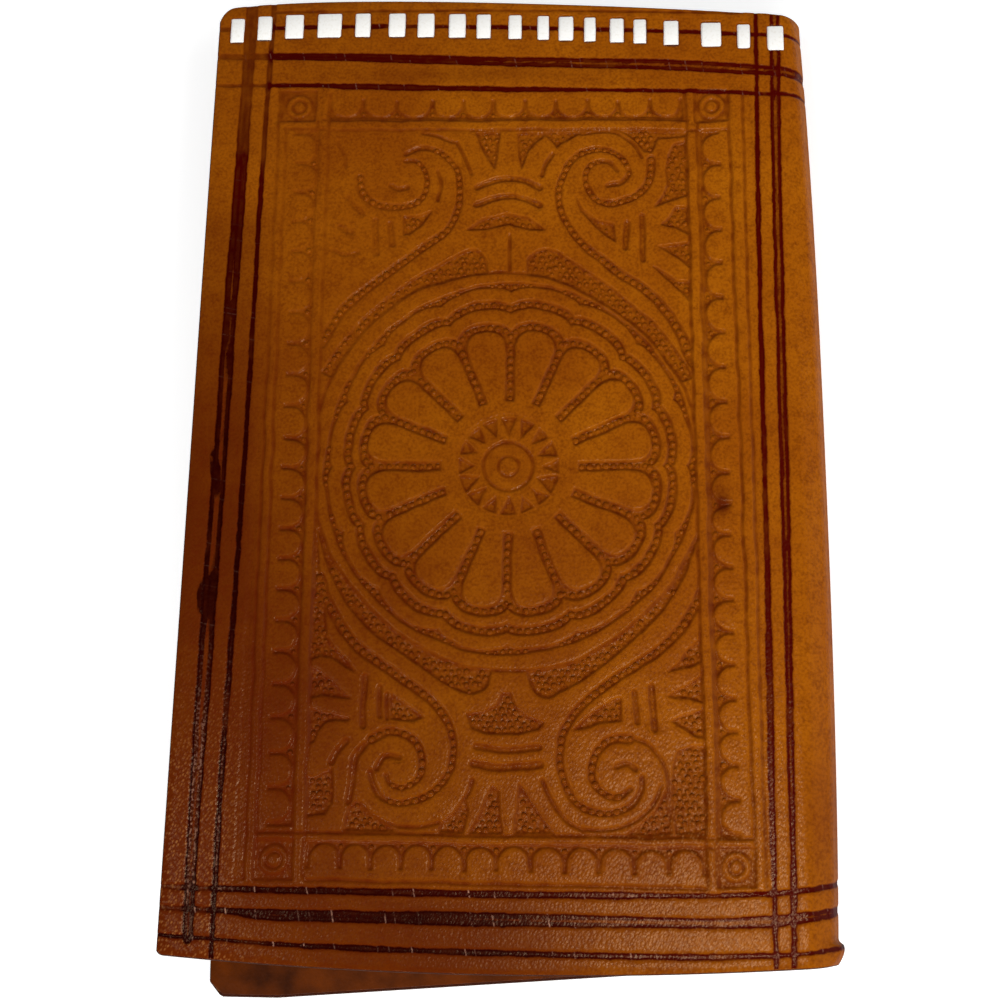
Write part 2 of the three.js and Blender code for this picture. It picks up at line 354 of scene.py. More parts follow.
def dyeLine(tooling, line, seed):
    path = curveThrough(line["points"])
    level = abs(path[-1, 0] - path[0, 0]) > 40  # the others stand upright
    window = windowOf(tooling, path[:, :2], margin=3)
    x, y = meshWindow(tooling, window, stray["ruled"])
    gap, place = pathDistance(path[:, :2], x, y)
    run = alongPath(path[:, :2])
    width = np.interp(place, run / run[-1], path[:, 2])
    edge = gap - width / 2
    half = dyeCrease["width"] / 2
    ragged = waver(x, y, dyeBrush["ragged"], seed)
    paint = edge - ragged
    pressIn(tooling, window, edge, dyeBand["depth"], bevel=dyeBand["bevel"], outlined=False)
    pressIn(tooling, window, np.abs(paint + half) - half, dyeCrease["depth"], bevel=dyeCrease["bevel"])
    if path.shape[1] > 3:
        pressIn(tooling, window, gap - half, dyeCrease["depth"], bevel=dyeCrease["bevel"])
        slit = np.interp(place, run / run[-1], path[:, 3])
        paint = np.maximum(paint, slit / 2 + ragged / 2 - gap)
    coat = dyeBrush["least"]
    for k, (size, share) in enumerate(dyeBrush["cover"], 2):
        coat = coat + share * latticeNoise(x, y, size, seed + k)
    coat = line["strength"] * coat
    if level:
        coat = coat * (line["left"] + (1 - line["left"]) * ramp(x, *dyeFade["level"]))
    else:
        upperLeft = ramp(y, *dyeFade["uprightY"]) * ramp(x, *dyeFade["uprightX"])
        coat = coat * (1 - dyeFade["uprightLoss"] * upperLeft)
    near = smoothStep((width / 2 + dyeBrush["spill"] - gap) / dyeBrush["soft"])
    tooling["coat"][window] = np.maximum(tooling["coat"][window], np.clip(coat, 0, 1) * near)
    tooling["paint"][window] = np.minimum(tooling["paint"][window], paint)
    tooling["level"][window] = np.where(near > 0, float(level), tooling["level"][window])


def dyeLines(tooling, lines):
    for seed, line in enumerate(lines.values()):
        dyeLine(tooling, line, 7 * seed)


# Drops of dye: middle, half widths, strength; and the waves of their edges
dyeDrops = [((-49.4, -26.5), (1.3, 3.6), 0.9), ((-49.4, -3.0), (0.8, 4.2), 0.8)]
dropEdge = [(1.3, 1.2)]


def dropDye(tooling):
    for seed, (middle, size, strength) in enumerate(dyeDrops, 70):
        window = windowOf(tooling, np.array([middle]), margin=6)
        x, y = meshWindow(tooling, window)
        gap = (np.hypot((x - middle[0]) / size[0], (y - middle[1]) / size[1]) - 1) * min(size)
        gap = gap + waver(x, y, dropEdge, seed)
        tooling["coat"][window] = np.maximum(tooling["coat"][window], strength * smoothStep(1.5 - gap))
        tooling["paint"][window] = np.minimum(tooling["paint"][window], gap)


# The tooled field: a rosette in two scalloped rings, four scrolls and two palmettes
rosette = {
    "centre": (1.2, -3.8),
    "reach": 38,
    "petals": 16,
    "channelStart": 11.8,
    "channelWidth": 1.55,
    "petalTip": 21.2,  # where a petal's round end begins
    "petalBlunt": 2.6,
    "grooveDepth": 0.42,
    "groundStipple": 0.35,
    # groove radius at the cusps, rise of its lobes, width, stretch towards top and bottom
    "inner": (23.3, 2.0, 1.7, 0.0, 0.0),
    "middle": (26.9, 1.1, 1.5, 0.055, 0.02),
    # scalloped inner wall of the last groove, and its plain outer wall
    "outer": (30.0, 1.15, 0.0, 0.05, 0.016),
    "outerEdge": (31.7, 0.0, 0.0, 0.05, 0.016),
    # the rim's radius by its bearing in degrees
    "rim": [
        (0, 32.6), (30, 32.9), (50, 33.2), (65, 33.6), (80, 34.8), (95, 35.3), (118, 36.0), (150, 34.8),
        (180, 33.8), (222, 33.5), (240, 34.0), (252, 34.7), (288, 35.3), (298, 34.5), (315, 33.9),
        (340, 33.8),
    ],
    "rimHalf": 0.2,
    "rimShare": 0.6,  # of the grooves' depth
    # boss, its eye, the dish between them, ring round the teeth: radius, half its width, depth, sharp or not
    "rings": [
        (4.2, 0.25, 0.3, True), (1.75, 0.2, 0.25, True), (2.95, 1.1, 0.14, False), (9.0, 0.15, 0.14, False),
    ],
    "toothIn": 5.6,
    "toothOut": 8.5,
    "toothWidth": 1.3,
    "toothUneven": (0.4, 0.2),  # in where it starts and in its width
    "toothDepth": 0.34,
    "toothStipple": 0.4,
}
field = {
    "corners": [(-32.5, 59.4), (32.2, 58.5), (33.4, -65.0), (-30.9, -65.0)],
    "depth": 0.4,
}
# The four scrolls, none quite like another: the long and the short beaded groove of the spiral, the outer
# wall of the stippled crescent along the rosette's rim, plain strokes with their widths, and stippled
# ground between the leaves
scrolls = {
    "upperRight": {
        "long": [
            (32.7, 14.7), (29.9, 21.6), (25, 27.8), (19, 32.1), (13.3, 37.3), (10.1, 42.8), (9.6, 48.2),
            (11.8, 53.2), (16.5, 55.1), (20.4, 53.6), (21.9, 50.8), (20.4, 48.6), (18.1, 48.1),
        ],
        "short": [
            (25.9, 53), (25.8, 50), (24.7, 47.5), (22.3, 45.6), (19, 44.4), (16.3, 45.3), (14.6, 47.7),
            (14.1, 50.2), (15.6, 52.3), (18.2, 52.6), (19.8, 51),
        ],
        "crescent": [
            (3.9, 32), (4, 34.2), (5.7, 35.6), (8.3, 35.7), (11.7, 33.5), (15, 31.2), (18.3, 29),
            (21.7, 26), (25, 23), (27.7, 20.1), (31, 15.5), (32.6, 12),
        ],
        "strokes": [
            ([(13.5, 58.1), (16.8, 58.5), (20.2, 58.1), (22.8, 55.8), (24.2, 53.4)], 0.4),
            ([(21.7, 40.8), (21.2, 36)], 0.95), ([(24.2, 42), (24.3, 33.8)], 0.95),
        ],
        "grounds": [
            [
                (12.5, 46.1), (13.8, 43.4), (16.4, 41.3), (19.4, 40.6), (19.5, 37), (16, 40.1),
                (13.4, 43.2),
            ],
            [
                (27.5, 40.3), (29.2, 41.9), (30.1, 43.7), (33.2, 43.7), (33.2, 37.8), (31.4, 39),
                (29.8, 39.9),
            ],
            [(26.9, 36.3), (29.2, 36.5), (33.2, 37.1), (33.2, 31.4), (30.5, 33.9), (28.5, 35.3)],
            [
                (26.1, 32.5), (28.4, 31.1), (30.4, 29.8), (33.2, 29.5), (33.2, 24.8), (30.2, 28.4),
                (28.2, 30.3),
            ],
            [
                (30.2, 56), (29.1, 53.8), (28.6, 50.8), (28.8, 48), (28, 46), (26.4, 43.9),
                (29.2, 44.8), (33.2, 46.2), (33.2, 56.6),
            ],
            [
                (20.8, 58.6), (23, 56.8), (24.5, 54.6), (26, 54.4), (26.4, 55.2), (27.2, 57.1),
                (33.2, 57.6), (33.2, 58.6),
            ],
            [
                (6.4, 58.6), (14.2, 58.6), (11.8, 57.4), (9.8, 56.2), (9.1, 55.4), (8.5, 56.4),
                (7.6, 57.4),
            ],
        ],
    },
    "upperLeft": {
        "long": [
            (-31.8, 18.5), (-29, 23.6), (-26, 27.2), (-22.6, 29.9), (-18.7, 33), (-14.8, 36.3),
            (-10.7, 39.4), (-8.7, 43), (-8.2, 46.2), (-8.7, 50.8), (-10.3, 53.5), (-12.6, 55.2),
            (-15.4, 55.7), (-18.2, 54.6),
        ],
        "short": [
            (-26.3, 50), (-25.8, 47.4), (-23.8, 45.2), (-20.6, 44.3), (-17.3, 44.7), (-15, 46.4),
            (-14.3, 49), (-14.9, 51.6), (-16.4, 53.1), (-18.4, 53.2),
        ],
        "crescent": [
            (-2.9, 31.6), (-3.2, 33.8), (-4.2, 35.5), (-5.7, 36.1), (-7.6, 35.4), (-10.8, 33.6),
            (-14, 31.6), (-18, 29), (-21.5, 26.1), (-25, 22.7), (-28.2, 18.6), (-31.6, 13),
        ],
        "strokes": [
            ([(-20.7, 48.5), (-19.4, 47.8), (-17.8, 48.1)], 0.8),
            ([(-12.4, 51.3), (-11.7, 48.4), (-12.2, 45.6)], 0.5), ([(-23.2, 41.5), (-22.8, 35.3)], 1.0),
            ([(-20.5, 40.8), (-20, 36.8)], 0.95), ([(-28.2, 46.3), (-27, 44.6), (-25.6, 43.1)], 0.9),
            ([(-29.6, 40.6), (-28.6, 39.9), (-27.4, 39.4)], 0.9),
            ([(-30.7, 35.9), (-28.5, 35.1), (-26, 35.6)], 0.6),
            ([(-30.6, 57.4), (-29.3, 54.5), (-29, 52.3)], 0.5),
            ([(-15.3, 58.7), (-12.5, 58.1), (-9.4, 56.8)], 0.5),
        ],
        "grounds": [
            [(-18.2, 42.4), (-15.5, 42.6), (-13.2, 43.6), (-14.8, 40.8), (-17, 38.9), (-18.2, 38.6)],
        ],
    },
    "lowerLeft": {
        "long": [
            (-30.4, -23), (-29.2, -26.8), (-27.4, -30), (-25.4, -32.8), (-22.8, -35.4), (-20.3, -37.2),
            (-17.3, -39.2), (-14, -41.4), (-10.5, -44.2), (-8, -47.8), (-7.2, -51.4), (-7.8, -54.8),
            (-9.9, -57.6), (-13.3, -59.7), (-16.2, -60.2), (-18.8, -59.2), (-20.3, -57.2),
            (-20.8, -55.2),
        ],
        "short": [
            (-20.8, -50), (-18, -48.8), (-14.8, -49.4), (-13, -51.2), (-12.3, -53.9), (-13, -56.2),
            (-15.3, -57.6), (-17.5, -57), (-18.3, -55.6),
        ],
        "crescent": [
            (-31.2, -15), (-29.4, -20.3), (-27.6, -24.7), (-25.3, -28.2), (-23, -30.8), (-20.3, -33.2),
            (-16.5, -35.7), (-12.5, -38.4), (-9.5, -40.4), (-6.3, -42), (-3.7, -42.3), (-1.9, -41.2),
            (-1.2, -38.6),
        ],
        "strokes": [
            ([(-19.8, -54.6), (-18.9, -53), (-17.8, -52.6), (-16.1, -52.8)], 0.8),
            ([(-22, -39.8), (-22.2, -47.8)], 1.0), ([(-19.5, -41.5), (-19.4, -46.2)], 0.7),
            ([(-18.3, -42.5), (-18.2, -46.6)], 0.5),
            ([(-21.7, -50.9), (-23.2, -53), (-23.6, -56.5), (-24.2, -60)], 1.0),
            ([(-24.7, -50.3), (-26.1, -51.9), (-27, -53.8)], 0.9),
            ([(-22.2, -60.3), (-19.8, -62.4), (-16.6, -63.7), (-13, -63.9), (-9.4, -63.1)], 0.45),
        ],
        "grounds": [
            [(-17.7, -42.4), (-15, -44.3), (-12.2, -46.3), (-14, -46.9), (-17.7, -46.6)],
            [
                (-31.2, -16), (-30.6, -19.5), (-30.2, -23), (-29.6, -27.5), (-29.3, -29), (-28.7, -33),
                (-27.3, -35), (-25.3, -36.9), (-23.7, -38.9), (-25.6, -38), (-27.7, -36.6),
                (-29.5, -36.4), (-31.4, -37.2),
            ],
            [
                (-31.4, -38.3), (-29.5, -39.3), (-27, -41), (-24.4, -43.2), (-27, -43), (-29, -43),
                (-31.4, -43.4),
            ],
            [
                (-31.4, -44.8), (-29, -45.7), (-26, -46.2), (-24.4, -46.4), (-24.4, -46.9),
                (-26.5, -46.9), (-28.5, -47.4), (-29.6, -48.6), (-30.3, -50.5), (-31.4, -51),
            ],
            [
                (-31.4, -55.8), (-29.8, -56.2), (-28, -55.2), (-26.8, -54.6), (-26.7, -57),
                (-26.9, -60), (-28, -62), (-31.4, -62.4),
            ],
            [(-25, -64.6), (-24.2, -61), (-22.8, -60), (-20.3, -62.3), (-17.2, -64), (-16, -64.6)],
            [(-9.5, -64.6), (-9.2, -63.3), (-6.8, -61.2), (-5.2, -58.9), (-4.7, -61), (-5.2, -64.6)],
        ],
    },
    "lowerRight": {
        "long": [
            (33.4, -25.5), (32, -28.2), (29.8, -31.6), (27, -34.6), (24, -36.6), (20, -39),
            (16.3, -41.8), (13.3, -44.7), (10.9, -47.8), (10, -51), (10.1, -54.3), (11.2, -57.6),
            (13.3, -60.2), (16.3, -61.2), (19.3, -61), (21.8, -59.8), (23.2, -57.6), (23.4, -55.6),
        ],
        "short": [
            (21.3, -49.5), (18, -49.8), (15.8, -52), (15.1, -54.8), (15.8, -56.8), (17.6, -58.4),
            (19.8, -58.6), (21.5, -57.4),
        ],
        "crescent": [
            (4.6, -38.6), (5.2, -40.9), (6.4, -42.6), (8.2, -43), (10, -42.2), (12.6, -40.7),
            (16.2, -38.2), (18.7, -36.3), (22.5, -33), (26.5, -29), (29.2, -24.8), (31.2, -21.5),
            (33.4, -15.5),
        ],
        "strokes": [
            ([(19.2, -54), (20.8, -53.5), (22.3, -54.3)], 0.8), ([(22.2, -41.9), (22.6, -46.8)], 0.85),
            ([(25, -41), (25.4, -48)], 1.0),
            ([(20.5, -49), (24.4, -50.6), (26.7, -53.5), (27.6, -57), (27.8, -62)], 0.5),
            ([(14, -64), (17, -64), (20, -63.4), (23.1, -61.7), (25.4, -59.4), (26.4, -56.8)], 0.45),
        ],
        "grounds": [
            [
                (12.2, -48.2), (14.5, -46.3), (15.8, -45.2), (18.5, -43.2), (20, -42.8), (20, -46.6),
                (16.5, -47), (14, -48),
            ],
            [(27.6, -38.6), (29.5, -37.2), (31, -35.2), (33.4, -33), (33.4, -37), (31, -38)],
            [
                (27.5, -42.5), (30, -41.2), (32.3, -39.6), (33.4, -38.9), (33.4, -43.6), (31, -43),
                (29, -42.9),
            ],
            [(28, -46.6), (30, -45.7), (33.4, -44.7), (33.4, -49.4), (31.6, -49), (30.2, -48)],
            [
                (28.3, -53.5), (29, -51.4), (31, -50.6), (33.4, -50.6), (33.4, -64.6), (28.7, -64.6),
                (28.1, -61), (28.2, -57),
            ],
            [(20.8, -64.6), (23.6, -62.6), (26, -60), (27.2, -57.6), (27.6, -61), (28, -64.6)],
        ],
    },
}
palmettes = {
    "grounds": [
        [
            (2.0, 58.6), (2.2, 55), (2.7, 51.6), (3.3, 53.2), (4, 55.2), (5.2, 56.6), (6.6, 57.6),
            (6.9, 58.4),
        ],
        [(-1.2, 58.8), (-1.6, 54.8), (-2.1, 51.6), (-3.8, 54.4), (-5.4, 58), (-5.6, 58.8)],
        [
            (-6.8, 39.6), (-4, 41.6), (0.4, 42.7), (4, 42), (7.1, 39.5), (4, 39.6), (0.5, 40.6),
            (-3.4, 39.7),
        ],
        [
            (-5.2, -45.6), (-2.4, -45.3), (-0.3, -44.2), (0.7, -42.3), (2.0, -42.3), (3.2, -44.6),
            (5, -46), (7.5, -47.1), (6.4, -48.3), (3.4, -49), (0.4, -49.1), (-2.4, -48.8), (-4.3, -48),
        ],
        [
            (-0.8, -57), (0.3, -58), (0.3, -61), (0.9, -64.6), (-4.4, -64.6), (-2.8, -61.5),
            (-1.7, -58.8),
        ],
        [(3.4, -56.8), (5, -59.2), (7, -62), (9.2, -64.6), (2.6, -64.6), (3.0, -61)],
    ],
    "strokes": [
        ([(-5.1, 47.9), (-2, 49.2), (0.8, 49.6), (3.5, 49.1), (6.1, 47.8)], 1.0),
        ([(-5.2, 44.5), (-2, 45.7), (0.8, 46), (3.5, 45.6), (6.2, 44.3)], 1.0),
        ([(6.3, 50.2), (7.1, 52.4), (8.3, 54.2)], 0.7),
        ([(-6.1, 50.6), (-7.3, 53.4), (-8.9, 56.8)], 0.5), ([(0.7, 38.5), (0.7, 35), (0.9, 31.8)], 0.5),
        ([(-3.5, -50.9), (0, -51.5), (3.5, -51.6), (6.6, -51.2)], 0.95),
        ([(-3.8, -53.6), (0, -54.2), (3.5, -54.2), (6.8, -53.9)], 1.1),
        ([(-3.9, -56.2), (-4.9, -58.6), (-6.6, -61)], 0.5),
        ([(7.1, -56.4), (8.8, -59.6), (11, -62.5), (14, -64.2)], 0.55),
    ],
}


def ringRadius(ring, angle):
    cusp, rise, _, up, down = ring
    t = (angle / (2 * math.pi) * rosette["petals"]) % 1 * 2 - 1
    stretch = 1 + up * np.clip(np.sin(angle), 0, 1) ** 2 + down * np.clip(-np.sin(angle), 0, 1) ** 2
    return (cusp + rise * (1 - np.abs(t) ** 2.4) ** 0.6) * stretch


def rimRadius(angle):
    bearing, radius = np.array(rosette["rim"], float).T
    return np.interp(np.degrees(angle), bearing, radius, period=360)


def polar(x, y):
    cx, cy = rosette["centre"]
    return np.hypot(x - cx, y - cy), np.arctan2(y - cy, x - cx)


def pressRosette(tooling, fieldGap):
    window = windowOf(tooling, np.array([rosette["centre"]]), rosette["reach"])
    x, y = meshWindow(tooling, window)
    radius, angle = polar(x, y)
    depth = rosette["grooveDepth"]
    spoke = 2 * math.pi / rosette["petals"]
    wall = {name: ringRadius(rosette[name], angle) for name in ("inner", "middle", "outer", "outerEdge")}
    # everything inside the first scalloped ring is sunk except the petals, which end round
    bearing = angle % spoke - spoke / 2
    along, beside = radius * np.cos(bearing), np.abs(radius * np.sin(bearing))
    flank = beside - along * math.tan(spoke / 2) + rosette["channelWidth"] / 2
    tipWidth = rosette["petalTip"] * math.tan(spoke / 2) - rosette["channelWidth"] / 2
    blunt = rosette["petalBlunt"]
    end = (np.abs(along - rosette["petalTip"]) ** blunt + beside**blunt) ** (1 / blunt) - tipWidth
    petal = np.where(along < rosette["petalTip"], flank, end)
    ground = wall["inner"] + rosette["inner"][2] / 2
    sunk = np.maximum(np.maximum(-petal, rosette["channelStart"] - radius), radius - ground)
    pressIn(tooling, window, sunk, depth, stipple=rosette["groundStipple"])
    # the other two grooves and the rim's line stop at the field's edge
    middle = np.abs(radius - wall["middle"]) - rosette["middle"][2] / 2
    outer = np.maximum(wall["outer"] - radius, radius - wall["outerEdge"])
    rim = np.abs(radius - rimRadius(angle)) - rosette["rimHalf"]
    for gap, share in ((middle, 1), (outer, 1), (rim, rosette["rimShare"])):
        pressIn(tooling, window, gap, depth * share, within=fieldGap[window])
    for ring, half, deep, sharp in rosette["rings"]:
        pressIn(tooling, window, np.abs(radius - ring) - half, deep, outlined=sharp)
    # teeth round the boss, cut by hand
    fromSpoke = np.abs((angle + spoke / 2) % spoke - spoke / 2) * radius
    uneven = np.random.default_rng(17).uniform(-1, 1, (2, rosette["petals"]))
    tooth = np.round(angle / spoke).astype(int) % rosette["petals"]
    unevenStart, unevenWidth = rosette["toothUneven"]
    rise = radius - rosette["toothIn"] - unevenStart * uneven[0][tooth]
    rise = rise / (rosette["toothOut"] - rosette["toothIn"])
    width = rosette["toothWidth"] + unevenWidth * uneven[1][tooth]
    pit = np.maximum(fromSpoke - width * rise, radius - rosette["toothOut"])
    pressIn(tooling, window, pit, rosette["toothDepth"], stipple=rosette["toothStipple"])


carving = {
    "long": (1.75, 0.4, 0.8),  # width of the groove at its start, depth, width at its end
    "short": (1.55, 0.38, 0.6),
    "strokeDepth": 0.38,
    "crescentDepth": 0.4,
    "crescentStipple": 0.8,
    "crescentInside": 30,  # radius of its inner points, which lie under the rim
}


# Strokes and sunk grounds of a scroll or of the palmettes
def pressLeaves(tooling, figure, fieldGap):
    for points, width in figure["strokes"]:
        pressStroke(tooling, curveThrough(points), width, carving["strokeDepth"], fieldGap=fieldGap)
    for outline in figure["grounds"]:
        pressRegion(tooling, np.array(outline, float), field["depth"], fieldGap)


def pressScroll(tooling, scroll, fieldGap):
    for name in ("long", "short"):
        pressStroke(tooling, curveThrough(scroll[name]), *carving[name], fieldGap=fieldGap)
    pressLeaves(tooling, scroll, fieldGap)
    # the crescent runs out into a beaded groove along the rosette's rim
    wall = curveThrough(scroll["crescent"])
    _, bearing = polar(wall[:, 0], wall[:, 1])
    inside = np.linspace(bearing[-1], bearing[0], 12)
    inside = carving["crescentInside"] * np.stack([np.cos(inside), np.sin(inside)], 1)
    outline = np.vstack([wall, np.array(rosette["centre"]) + inside])
    window = windowOf(tooling, outline, margin=2)
    x, y = meshWindow(tooling, window)
    radius, angle = polar(x, y)
    gap = np.maximum(signedDistance(outline, x, y), rimRadius(angle) - radius)
    pressIn(tooling, window, gap, carving["crescentDepth"], stipple=carving["crescentStipple"],
            within=fieldGap[window])


# Rows of lobes round the field: where the row starts, changes pitch and ends, with the lobes counted to
# there; base line at start and end; which way the lobes open; length of the slits between them
lobeRows = {
    "top": {
        "along": 0, "run": (-32.5, -13.7, 31.4), "count": (0, 3, 11), "base": (61.9, 61.1), "out": 1,
        "slit": 3.8,
    },
    "bottom": {
        "along": 0, "run": (-30.2, -0.2, 33.0), "count": (0, 6, 12), "base": (-66.3, -66.5), "out": -1,
        "slit": 4.2,
    },
    "left": {
        "along": 1, "run": (59.0, 1.3, -46.4, -63.7), "count": (0, 10, 19, 22), "base": (-34.2, -33.1),
        "out": -1, "slit": 4.2,
    },
    "right": {
        "along": 1, "run": (58.2, -5.0, -64.5), "count": (0, 10, 21), "base": (34.7, 35.4), "out": 1,
        "slit": 3.4,
    },
}
lobe = {"slitWidth": 0.65, "round": 2.3, "clear": 0.4, "depth": 0.4, "past": 0.35}


def lobePlace(row, t):
    runs, counts = np.array(row["run"], float), np.array(row["count"], float)
    order = np.argsort(runs)
    runs, counts = runs[order], counts[order]
    place = np.interp(t, runs, counts)
    stretch = np.clip(np.searchsorted(runs, t) - 1, 0, len(runs) - 2)
    pitch = np.abs(np.diff(runs) / np.diff(counts))[stretch]
    base = np.interp(place, (0, row["count"][-1]), row["base"])
    return place, pitch, base


def pressLobes(tooling, row):
    x, y = meshWindow(tooling, wholeField)
    t, o = (x, y) if row["along"] == 0 else (y, x)
    place, pitch, base = lobePlace(row, t)
    offset = (o - base) * row["out"]
    side = (place % 1 - 0.5) * pitch
    half = pitch / 2 - lobe["slitWidth"] / 2
    shoulder = lobe["clear"] + lobe["round"]
    oval = (np.hypot(side / half, (offset - shoulder) / lobe["round"]) - 1) * lobe["round"]
    outside = np.where(offset < shoulder, oval, np.abs(side) - half)
    sunk = np.maximum(-outside, np.maximum(offset - row["slit"], -offset))
    start, end = row["run"][0], row["run"][-1]
    sunk = np.maximum(sunk, np.abs(t - (start + end) / 2) - abs(end - start) / 2 - lobe["past"])
    pressIn(tooling, wholeField, sunk, lobe["depth"])


# Plain creased lines of the frame, and the corner squares
frameLines = {
    "creases": [
        [(-40.5, 59.8), (39.8, 58.6)], [(-38.5, -65.0), (40.6, -65.0)],
        [(-33.4, 61.7), (32.5, 60.8)], [(-31.0, -66.5), (34.4, -66.5)],
        [(-32.5, 66.8), (-30.9, -71.9)], [(32.2, 65.9), (33.4, -72.2)],
        [(-34.4, 61.2), (-33.0, -72)], [(34.2, 60.4), (35.2, -72.3)],
        [(-40.2, 60), (-38.9, -66)], [(39.9, 60), (40.9, -66)],
        [(-41.7, 67.6), (-40.6, -72.2)], [(42.4, 65.6), (42.6, -72.5)],
        [(-30.5, -72.4), (33.4, -72.7)],
    ],
    # raised fillets that cross at the corners, and sunk valleys: from, to, width
    "fillets": [
        ((-33.2, 68), (-31.8, -72.6), 1.6), ((33.2, 66.6), (34.3, -72.6), 1.8),
        ((-41.2, 60.6), (40.6, 59.6), 1.9), ((-39.6, -65.7), (41.4, -65.7), 1.3),
        ((-40.9, 67.6), (-39.7, -72.4), 1.4), ((41.2, 66), (41.8, -72.6), 1.8),
    ],
    "valleys": [((43.3, 66), (43.1, -72.6), 1.3), ((-42.5, 68), (-41.8, -72.4), 1.1)],
    "creaseLine": (0.4, 0.26),  # width, depth
    "filletRise": 0.14,
    "filletSoft": 0.6,
    "valleyDepth": 0.16,
    "squares": [(-38.2, 64.5), (36.8, 63.4), (38.0, -69.4), (-35.9, -69.2)],
    "squareHalf": 3.0,
    "squareLine": (0.2, 0.28),  # half its width, depth
    "squareGround": (0.22, 0.5),  # depth, stipple
    "circles": (2.5, 1.2),
    "circleLine": (0.22, 0.3),
}


def pressFrame(tooling):
    for start, end, width in frameLines["fillets"]:
        path = np.array([start, end], float)
        window = windowOf(tooling, path, margin=2)
        gap, _ = pathDistance(path, *meshWindow(tooling, window))
        raised = frameLines["filletRise"] * smoothStep(0.5 - (gap - width / 2) / frameLines["filletSoft"])
        tooling["raised"][window] = np.maximum(tooling["raised"][window], raised)
    for start, end, width in frameLines["valleys"]:
        pressStroke(tooling, np.array([start, end], float), width, frameLines["valleyDepth"], outlined=False)
    for crease in frameLines["creases"]:
        pressStroke(tooling, np.array(crease, float), *frameLines["creaseLine"])
    lineHalf, lineDepth = frameLines["squareLine"]
    groundDepth, groundStipple = frameLines["squareGround"]
    circleHalf, circleDepth = frameLines["circleLine"]
    for cx, cy in frameLines["squares"]:
        square = frameLines["squareHalf"] * np.array([(-1, -1), (1, -1), (1, 1), (-1, 1)]) + (cx, cy)
        window = windowOf(tooling, square, margin=1)
        x, y = meshWindow(tooling, window)
        radius, border = np.hypot(x - cx, y - cy), signedDistance(square, x, y)
        pressIn(tooling, window, np.abs(border) - lineHalf, lineDepth)
        ground = np.maximum(border, frameLines["circles"][0] - radius)
        pressIn(tooling, window, ground, groundDepth, stipple=groundStipple, outlined=False)
        for r in frameLines["circles"]:
            pressIn(tooling, window, np.abs(radius - r) - circleHalf, circleDepth)


# Lacing: the thong's stitches along the top, each its middle and length
lace = {
    "width": 4.8,
    "thick": 0.42,
    "fromEdge": 5.0,
    "innerDepth": 3.55,
    "sunk": 0.06,  # its outer face below the hide's
    "bend": 0.25,
    "tail": 0.8,
    "slotRound": 0.45,
    "slotClear": 0.12,
    "slotDepth": 0.6,
    "slotBevel": 0.22,
    "stitches": [
        (-50.5, 2.6), (-45.4, 2.7), (-39.8, 3.5), (-33.2, 4.6), (-27, 2.9), (-20.6, 3.2), (-15.2, 3.2),
        (-9.4, 3.2), (-4.5, 2.7), (1.3, 2.5), (6.5, 2.2), (10.7, 2.8), (15.1, 2.2), (20, 2.6),
        (24.2, 2.4), (29.9, 2.8), (37.2, 3.7), (43.1, 2.4), (48.8, 3),
    ],
}


def pressStitches(tooling, top):
    for middle, length in lace["stitches"]:
        row = float(top(np.array(middle))) - lace["fromEdge"]
        window = windowOf(tooling, np.array([(middle, row)]), lace["width"])
        x, y = meshWindow(tooling, window)
        r = lace["slotRound"]
        along = np.abs(x - middle) - length / 2 + r
        beyond = np.abs(y - row) - lace["width"] / 2 - lace["slotClear"] + r
        corner = np.hypot(np.clip(along, 0, None), np.clip(beyond, 0, None))
        gap = corner + np.minimum(np.maximum(along, beyond), 0) - r
        pressIn(tooling, window, gap, lace["slotDepth"], bevel=lace["slotBevel"])


# The upper left of the front has been rubbed almost smooth outside the rosette, and the lower left a little
rubbedFlat = 0.5  # the most depth that it lost


def rubbedShare(x, y):
    radius, _ = polar(x, y)
    upper = ramp(x, -8, -30) * ramp(y, -2, 28) * (0.45 + 0.55 * ramp(radius, 29, 32))
    upper = upper * (0.3 + 0.7 * ramp(y, 61, 58))
    lower = 0.2 * ramp(x, -18, -30) * ramp(y, -35, -60)
    return np.clip(upper + lower, 0, 1)


def toolFront():
    tooling = newTooling(-88, 88)
    x, y = meshWindow(tooling, wholeField)
    fieldGap = signedDistance(np.array(field["corners"]), x, y)
    pressRosette(tooling, fieldGap)
    for scroll in scrolls.values():
        pressScroll(tooling, scroll, fieldGap)
    pressLeaves(tooling, palmettes, fieldGap)
    for row in lobeRows.values():
        pressLobes(tooling, row)
    pressFrame(tooling)
    for name in ("depth", "raised", "stipple"):
        tooling[name] *= 1 - rubbedFlat * rubbedShare(x, y)
    dyeLines(tooling, dyedLines)
    dropDye(tooling)
    pressStitches(tooling, frontTop)
    return tooling


# The back carries the same border lines round the spine, parallel to its own askew edges: distance from the
# edge, width, and whether the line is double
backLines = {
    "mouth": {"mouthOuter": (2.2, 0.7, False), "mouthDouble": (7.9, 1.9, True),
              "mouthInner": (10.9, 0.9, False)},
    "laced": {"lacedOuter": (3.5, 0.6, False), "lacedDouble": (10.4, 1.8, True),
              "lacedInner": (15.8, 0.8, False)},
    "free": {"freeDouble": (5.5, 1.9, True), "freeSingle": (9.6, 0.9, False)},
}
backRise = backCut["topLeft"][1] - backCut["chamferHigh"][1]


def meetFront(name, back):  # a line that crosses the spine goes on from the front's
    front, x = curveThrough(dyedLines[name]["points"]), back[:, 0]
    share = ramp(x, 35, 55)
    for column in range(1, back.shape[1]):
        step = np.interp(spineMiddle, front[:, 0], front[:, column])
        step = step - np.interp(spineMiddle, x, back[:, column])
        back[:, column] += share * step


